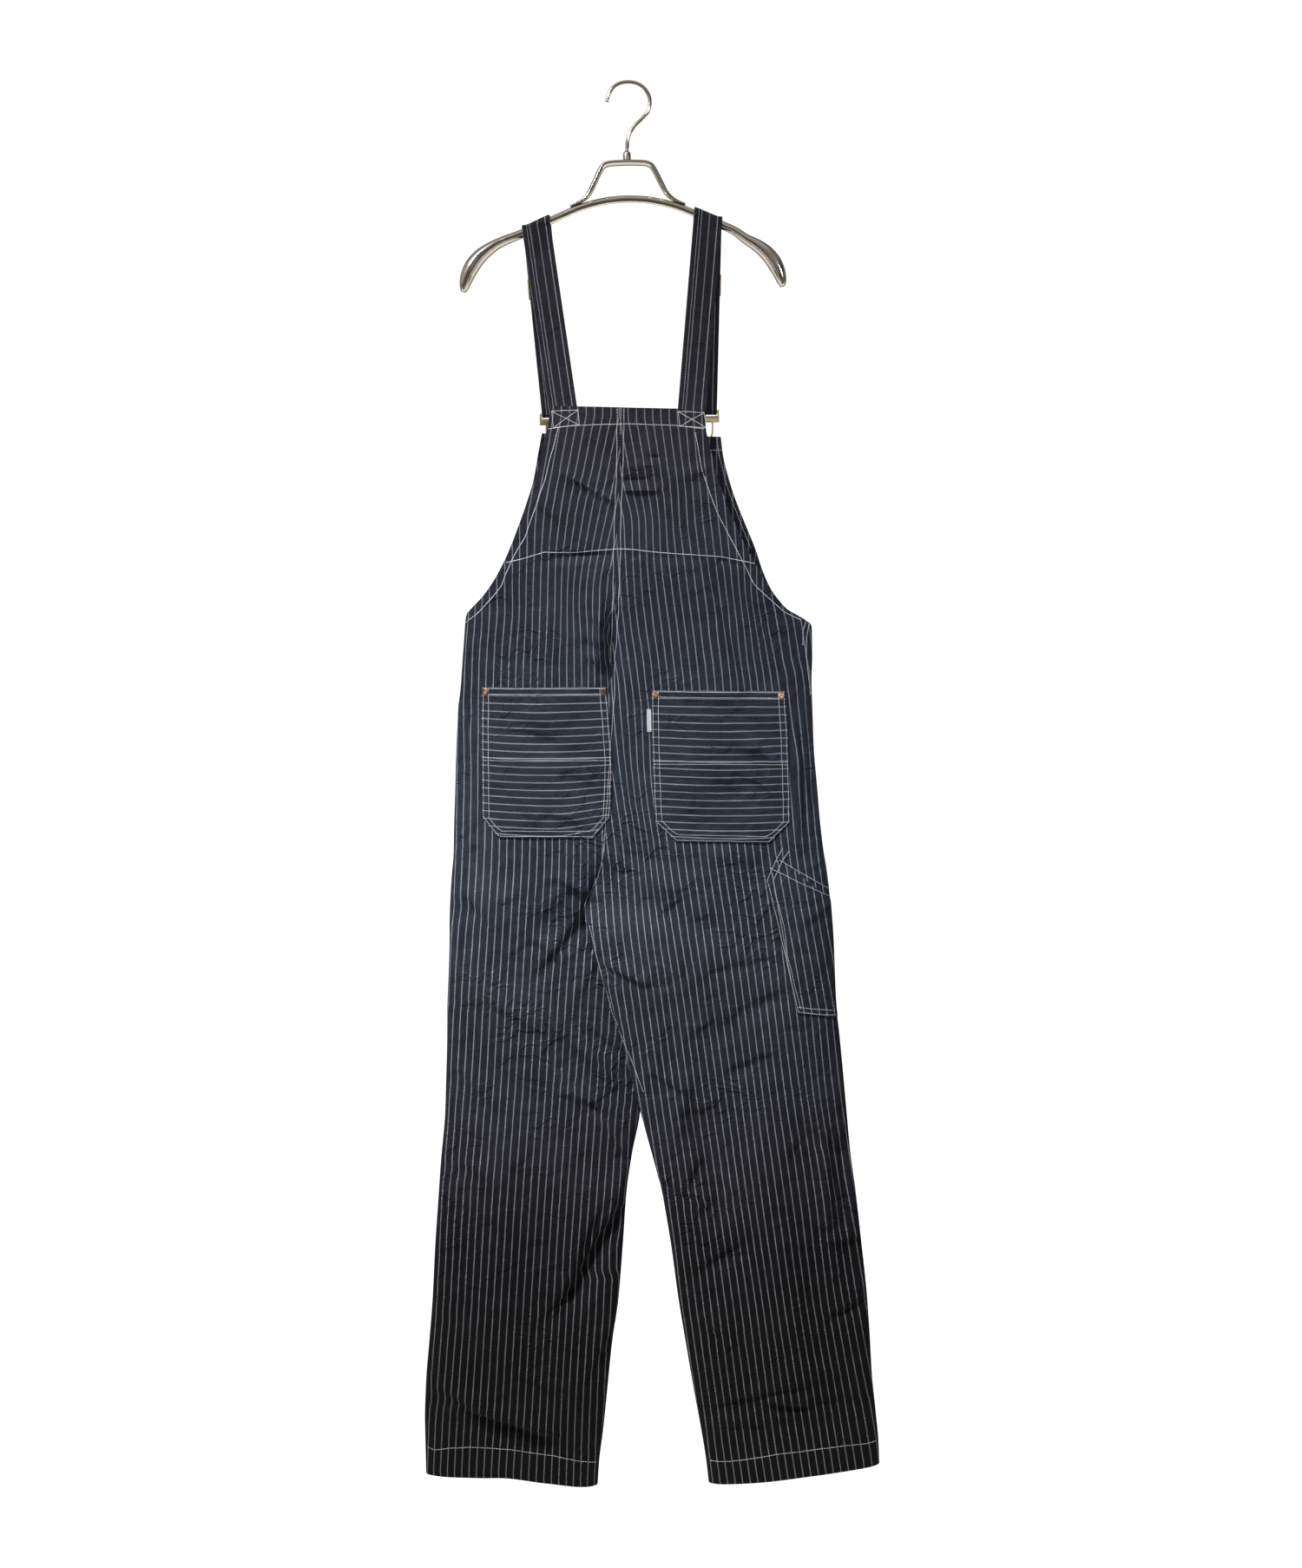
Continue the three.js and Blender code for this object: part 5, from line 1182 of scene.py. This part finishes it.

# %% [markdown]
# ## Materials
# The cloth is a dark cotton twill, nearly black with a trace of blue, with a thin pale stripe woven in. It
# is drier and bluer round the seat and warmer towards the hems, and shade is painted into its colour,
# which darkens steeply down the lower legs to the hems. One node group gives its colour and height from
# the weave coordinates, so the stripes follow every panel. Threads, copper, gilt metal and nickel have
# finishes of their own. An image would fix the stripes to one view and one size, which a group of nodes
# does not.

# %% Node helpers
def linear(r, g, b):
    """Scene colour of a screen colour from 0 to 255."""
    return tuple((c / 255 / 12.92) if c <= 10 else ((c / 255 + 0.055) / 1.055) ** 2.4 for c in (r, g,
        b)) + (1.0,)


class Net:
    """Adds nodes to a tree and links what is given as their inputs."""

    def __init__(self, tree):
        self.tree = tree

    def add(self, kind, inputs=None, **settings):
        node = self.tree.nodes.new(kind)
        for key, value in settings.items():
            setattr(node, key, value)
        for key, value in (inputs or {}).items():
            socket = node.inputs[key]
            if isinstance(value, bpy.types.NodeSocket):
                self.tree.links.new(value, socket)
            else:
                socket.default_value = value
        return node

    def math(self, operation, *values):
        node = self.add("ShaderNodeMath", dict(enumerate(values)), operation=operation)
        return node.outputs[0]

    def ramp(self, factor, stops, interpolation="EASE"):
        node = self.add("ShaderNodeValToRGB", {0: factor})
        node.color_ramp.interpolation = interpolation
        while len(node.color_ramp.elements) < len(stops):
            node.color_ramp.elements.new(0.5)
        for element, (place, colour) in zip(node.color_ramp.elements, stops):
            element.position = place
            element.color = colour
        return node.outputs[0]

    def between(self, value, a, b, low=0.0, high=1.0, smooth=True):
        node = self.add("ShaderNodeMapRange", {0: value, 1: a, 2: b, 3: low, 4: high})
        node.interpolation_type = "SMOOTHSTEP" if smooth else "LINEAR"
        return node.outputs[0]

    def mix(self, factor, a, b, blend="MIX"):
        node = self.add("ShaderNodeMix", data_type="RGBA", blend_type=blend)
        for index, value in ((0, factor), (6, a), (7, b)):
            if isinstance(value, bpy.types.NodeSocket):
                self.tree.links.new(value, node.inputs[index])
            else:
                node.inputs[index].default_value = value
        return node.outputs[2]


# %% Striped cloth group
# Cloth colour by height: the cloth's own tone, with shade painted in below the knees, darker and darker down to the
# hems.
CLOTH_COLOURS_AND_SHADE = [   # height in metres, screen colour between the stripes
    (-1.86, (15, 14, 15)), (-1.65, (16, 16, 18)), (-1.50, (21, 21, 25)), (-1.35, (37, 38, 45)),
    (-1.10, (42, 45, 53)),
    (-1.00, (42, 47, 57)), (-0.85, (37, 42, 52)), (-0.65, (30, 33, 43)), (-0.42, (32, 32, 38))]
# Stripe colour by height: the stripes are painted darker down the lower legs to the hems as shade, in the same way.
STRIPE_COLOURS_AND_SHADE = [
    (-1.86, (124, 123, 124)), (-1.65, (128, 127, 130)), (-1.50, (136, 136, 142)), (-1.35, (152, 153, 161)),
    (-1.00, (150, 155, 165)), (-0.85, (130, 135, 144)), (-0.65, (114, 116, 124)), (-0.42, (111, 111, 117))]


def height_ramp(net, height, stops):
    low, high = stops[0][0], stops[-1][0]
    share = net.between(height, low, high, smooth=False)
    return net.ramp(share, [((z - low) / (high - low), linear(*c)) for z, c in stops], "LINEAR")


cloth_group = bpy.data.node_groups.new("striped_twill", "ShaderNodeTree")
for name, kind in (("Color", "NodeSocketColor"), ("Roughness", "NodeSocketFloat"),
    ("Height", "NodeSocketFloat"),
                   ("Wrinkles", "NodeSocketFloat")):
    cloth_group.interface.new_socket(name, in_out="OUTPUT", socket_type=kind)
net = Net(cloth_group)
weave = net.add("ShaderNodeUVMap", uv_map=UV_NAME).outputs[0]
across, along, _ = net.add("ShaderNodeSeparateXYZ", {0: weave}).outputs
place = net.add("ShaderNodeTexCoord").outputs["Object"]
height = net.add("ShaderNodeSeparateXYZ", {0: place}).outputs[2]

wander = net.add("ShaderNodeTexNoise", {"Vector": place, "Scale": 60.0, "Detail": 1.0}).outputs[0]
number = net.math("ADD", net.math("MULTIPLY", across, 1 / (STRIPE_PITCH * MM)),
                  net.math("MULTIPLY", net.math("SUBTRACT", wander, 0.5), 0.06))
phase = net.math("ABSOLUTE", net.math("SUBTRACT", net.math("FRACT", net.math("ADD", number, 0.5)), 0.5))
stripe = net.between(phase, 0.088, 0.045)
slub_place = net.add("ShaderNodeCombineXYZ", {0: net.math("MULTIPLY", number, 3.0),
                                              1: net.math("MULTIPLY", along, 900.0)}).outputs[0]
slub = net.add("ShaderNodeTexNoise", {"Vector": slub_place, "Scale": 1.0, "Detail": 1.5}).outputs[0]
stripe = net.math("MULTIPLY", stripe, net.between(slub, 0.3, 0.62, 0.45, 1.0))

streak_place = net.add("ShaderNodeCombineXYZ", {0: net.math("MULTIPLY", across, 900.0),
                                                1: net.math("MULTIPLY", along, 38.0)}).outputs[0]
streak = net.add("ShaderNodeTexNoise", {"Vector": streak_place, "Scale": 1.0, "Detail": 3.0}).outputs[0]
patchy = net.add("ShaderNodeTexNoise", {"Vector": place, "Scale": 16.0, "Detail": 3.0}).outputs[0]
grain = net.add("ShaderNodeTexNoise", {"Vector": place, "Scale": 620.0, "Detail": 2.0}).outputs[0]
tone = net.math("ADD", net.between(streak, 0.3, 0.7, -0.24, 0.24), net.between(patchy, 0.3, 0.7, -0.15, 0.15))
tone = net.math("ADD", tone, net.between(grain, 0.3, 0.7, -0.25, 0.25))
# Ground colour by height, with painted shade darkening the lower legs towards the hems.
ground = height_ramp(net, height, CLOTH_COLOURS_AND_SHADE)
grey = net.math("ADD", 1.0, tone)
toned = net.add("ShaderNodeCombineColor", {0: grey, 1: grey, 2: grey}).outputs[0]
ground = net.mix(1.0, ground, toned, "MULTIPLY")
# Stripe colour by height, with painted shade darkening it towards the hems.
pale = height_ramp(net, height, STRIPE_COLOURS_AND_SHADE)
colour = net.mix(stripe, ground, pale)
twill = net.math("SINE",
    net.math("MULTIPLY", net.math("ADD", across, net.math("MULTIPLY", along, 0.8)), 6200.0))
weave_height = net.math("ADD", net.math("MULTIPLY", twill, 0.25),
    net.math("ADD", grain, net.math("MULTIPLY", stripe, 0.5)))
crushed = net.add("ShaderNodeVectorMath", {0: place, 1: (34.0, 34.0, 40.0)}, operation="MULTIPLY").outputs[0]
fine = net.add("ShaderNodeTexNoise",
    {"Vector": crushed, "Scale": 1.0, "Detail": 2.5, "Roughness": 0.45, "Distortion": 0.7})
line = net.math("ABSOLUTE", net.math("SUBTRACT", fine.outputs[0], 0.5))
where = net.add("ShaderNodeTexNoise", {"Vector": place, "Scale": 9.0, "Detail": 1.0}).outputs[0]
wrinkles = net.math("ADD",
    net.math("MULTIPLY", net.between(line, 0.06, 0.0), net.between(where, 0.45, 0.65, 0.0, 0.35)),
                    net.math("MULTIPLY", fine.outputs[0], 1.6))
ends = net.add("NodeGroupOutput").inputs
for socket, value in zip(ends, (colour, net.between(grain, 0.2, 0.8, 0.86, 0.98), weave_height, wrinkles)):
    cloth_group.links.new(value, socket)


# %% Materials
def surface_material(name, colour=None, rough=0.5, metal=0.0, sheen=0.0):
    material = bpy.data.materials.new(name)
    material.use_nodes = True
    shader = material.node_tree.nodes["Principled BSDF"]
    if colour:
        shader.inputs["Base Color"].default_value = colour
    shader.inputs["Roughness"].default_value = rough
    shader.inputs["Metallic"].default_value = metal
    shader.inputs["Sheen Weight"].default_value = sheen
    return material, Net(material.node_tree), shader


denim, net, shader = surface_material("striped_denim", sheen=0.015)
shader.inputs["Specular IOR Level"].default_value = 0.12
group = net.add("ShaderNodeGroup", node_tree=cloth_group)
net.tree.links.new(group.outputs["Color"], shader.inputs["Base Color"])
net.tree.links.new(group.outputs["Roughness"], shader.inputs["Roughness"])
rumple = net.add("ShaderNodeBump", {"Height": group.outputs["Wrinkles"], "Distance": 0.0028, "Strength": 1.0})
bump = net.add("ShaderNodeBump", {"Height": group.outputs["Height"], "Distance": 0.00025, "Strength": 0.5,
                                  "Normal": rumple.outputs[0]})
net.tree.links.new(bump.outputs[0], shader.inputs["Normal"])

thread, _, _ = surface_material("thread", linear(205, 206, 210), 0.85)
strap_thread, _, _ = surface_material("strap_thread", linear(165, 166, 170), 0.85)
tab_cloth, _, _ = surface_material("tab_cloth", linear(178, 182, 184), 0.9)
nickel, net, shader = surface_material("bright_nickel", linear(222, 212, 199), 0.14, 1.0)
place = net.add("ShaderNodeTexCoord").outputs["Object"]
shader.inputs["Specular Tint"].default_value = linear(74, 68, 60)
haze = net.add("ShaderNodeTexNoise", {"Vector": place, "Scale": 90.0, "Detail": 2.0}).outputs[0]
net.tree.links.new(net.between(haze, 0.3, 0.7, 0.15, 0.24), shader.inputs["Roughness"])
copper, net, shader = surface_material("worn_copper", None, 0.42, 1.0)
place = net.add("ShaderNodeTexCoord").outputs["Object"]
tarnish = net.add("ShaderNodeTexNoise", {"Vector": place, "Scale": 420.0, "Detail": 2.0}).outputs[0]
shade = net.ramp(tarnish, [(0.35, linear(128, 92, 74)), (0.65, linear(206, 160, 132))])
net.tree.links.new(shade, shader.inputs["Base Color"])
gilt, net, shader = surface_material("gilt_metal", linear(182, 163, 130), 0.4, 1.0)
place = net.add("ShaderNodeTexCoord").outputs["Object"]
worn = net.add("ShaderNodeTexNoise", {"Vector": place, "Scale": 260.0, "Detail": 2.0}).outputs[0]
net.tree.links.new(net.between(worn, 0.3, 0.7, 0.34, 0.5), shader.inputs["Roughness"])
FINISH = {"copper": copper, "gilt_metal": gilt, "nickel": nickel}

# %% Put each piece in its place
def finish_piece(obj, material, slot_name, *nodes):
    obj.data.materials.clear()
    obj.data.materials.append(material)
    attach(obj, "root")
    if nodes:
        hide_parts(*nodes)


for name, obj in cloth.items():
    node = name.removesuffix("_cloth")
    finish_piece(obj, tab_cloth if node == "pocket_tab" else denim, "denim", node)
for name, obj in threads.items():
    finish_piece(obj, strap_thread if name.startswith("strap") else thread, "denim")
for node, (obj, slot_name) in metal.items():
    finish_piece(obj, FINISH[slot_name], slot_name, node)
print(len(cloth), "cloth pieces,", len(threads), "sets of stitches,", len(metal), "metal pieces")

# %% [markdown]
# ## Sheets, stage, light and camera
# Each cloth piece states the flat size that shows. The stage is a plain pale sweep of floor and wall that
# glows a little, as a lit backdrop does. Small lamps at the upper left graze the cloth, so that its creases
# show, and the sky gives the metal dark and light bands to mirror. The camera has the photograph's height
# and tilt. Large soft lights would be simpler, but they fill the creases until the cloth looks pressed.

# %% Cloth facts
FLAT = {   # flat width, length and area of what shows, in metres, how it is held and what it hangs from
    "back_left": (0.310, 1.44, 0.315, "hung", ["strap_left"]),
    "back_right": (0.330, 1.44, 0.371, "hung", ["strap_right"]),
    "front_left": (0.300, 1.10, 0.264, "hung", ["front_bib"]),
    "front_right": (0.320, 1.10, 0.310, "hung", ["front_bib"]),
    "front_bib": (0.470, 0.315, 0.108, "hung", ["bib_button_left", "bib_button_right"]),
    "pocket_left": (0.172, 0.197, 0.0322, "hung", ["back_left"]),
    "pocket_right": (0.178, 0.199, 0.0340, "hung", ["back_right"]),
    "tool_pocket": (0.100, 0.210, 0.0134, "hung", ["back_right"]),
    "pocket_tab": (0.0102, 0.029, 0.00016, "hung", ["back_right"]),
    "strap_left": (0.036, 0.700, None, "hung", ["hanger_bar"]),
    "strap_right": (0.036, 0.708, None, "hung", ["hanger_bar"]),
}
for name, obj in cloth.items():
    piece = name.removesuffix("_cloth")
    width, length, area, held, rests = FLAT[piece]
    print(name, "shows", round(areas[name], 4), "m2, stated", area or round(width * length, 5))

# %% Stage
def stage_object(obj, colour, glow):
    """A pale matt surface that glows a little, as a lit backdrop does."""
    material, _, shader = surface_material(obj.name, colour, 0.95)
    shader.inputs["Emission Color"].default_value = (1.0, 1.0, 1.0, 1.0)
    shader.inputs["Emission Strength"].default_value = glow
    obj.data.materials.append(material)
    obj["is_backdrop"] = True
    return obj


FLOOR_Z, WALL_Y, BEND = -2.05, 2.8, 0.5
profile = [(-0.3, FLOOR_Z)] + [
    (WALL_Y - BEND + BEND * math.sin(a), FLOOR_Z + BEND - BEND * math.cos(a)) for a in np.linspace(0,
    math.pi / 2, 13)]
profile += [(WALL_Y, 1.6)]
grid = [(x, y, z) for y, z in profile for x in (-3.5, 3.5)]
faces = [(2 * k, 2 * k + 1, 2 * k + 3, 2 * k + 2) for k in range(len(profile) - 1)]
mesh = bpy.data.meshes.new("sweep")
mesh.from_pydata(grid, [], faces)
mesh.shade_smooth()
stage_object(put_in_scene("sweep", mesh), (0.3, 0.3, 0.3, 1.0), 0.97)


def area_light(name, place, aim, size, watts, spread=180, colour=(1, 1, 1)):
    light = bpy.data.lights.new(name, "AREA")
    light.shape = "RECTANGLE"
    light.size, light.size_y = size
    light.energy = watts
    light.spread = math.radians(spread)
    light.color = colour
    obj = bpy.data.objects.new(name, light)
    bpy.context.scene.collection.objects.link(obj)
    obj.location = place
    obj.rotation_euler = (Vector(aim) - Vector(place)).to_track_quat("-Z", "Y").to_euler()
    return obj


area_light("key", (-1.15, -1.3, 0.95), (-0.03, 0, -0.50), (0.35, 0.35), 3.5, spread=50)
area_light("legs", (-0.8, -0.95, 0.7), (0.02, 0, -1.66), (0.3, 0.3), 4.1, spread=46)
area_light("fill", (1.3, -1.5, -0.2), (0.12, 0, -0.50), (0.6, 0.6), 1.0, spread=34)
world = bpy.data.worlds.new("studio")
bpy.context.scene.world = world
world.use_nodes = True
net = Net(world.node_tree)
background = world.node_tree.nodes["Background"]
direction = net.add("ShaderNodeTexCoord").outputs["Generated"]
lit_side = net.add("ShaderNodeVectorMath", {0: direction, 1: (-0.5, -0.1, 0.85)},
    operation="DOT_PRODUCT").outputs["Value"]
ROOM = [(0.0, 0.10), (0.25, 0.22), (0.36, 0.30), (0.40, 0.03), (0.47, 0.03), (0.50, 0.16), (0.54, 0.5),
    (0.62, 0.5), (0.66, 0.28),
        (0.74, 0.9), (1.0, 1.0)]
room = net.ramp(net.between(lit_side, -1, 1, smooth=False),
    [(p, (v, v * 0.98, v * 0.95, 1)) for p, v in ROOM], "LINEAR")
world.node_tree.links.new(room, background.inputs["Color"])
background.inputs["Strength"].default_value = 0.42

# %% Camera
TILT, ROLL, DISTANCE = math.radians(7.7), math.radians(1.0), 2.2
AIM = Vector((9.6, 0.0, -874.4)) * MM
forward = Vector((0, math.cos(TILT), -math.sin(TILT)))
level = Vector((1, 0, 0))
upward = level.cross(forward)
right = level * math.cos(ROLL) - upward * math.sin(ROLL)
up = upward * math.cos(ROLL) + level * math.sin(ROLL)
lens = bpy.data.cameras.new("camera")
lens.sensor_fit = "VERTICAL"
lens.sensor_height = 36.0
lens.lens = 38.6
lens.clip_end = 30.0
camera = bpy.data.objects.new("camera", lens)
bpy.context.scene.collection.objects.link(camera)
turn = Matrix((right, up, -forward)).transposed().to_4x4()
camera.matrix_world = Matrix.Translation(AIM - forward * DISTANCE) @ turn
bpy.context.scene.camera = camera
bpy.context.scene.view_settings.view_transform = "Standard"

# %% Sizes
low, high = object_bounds()
print("visual box", [round(v, 3) for v in low], [round(v, 3) for v in high])
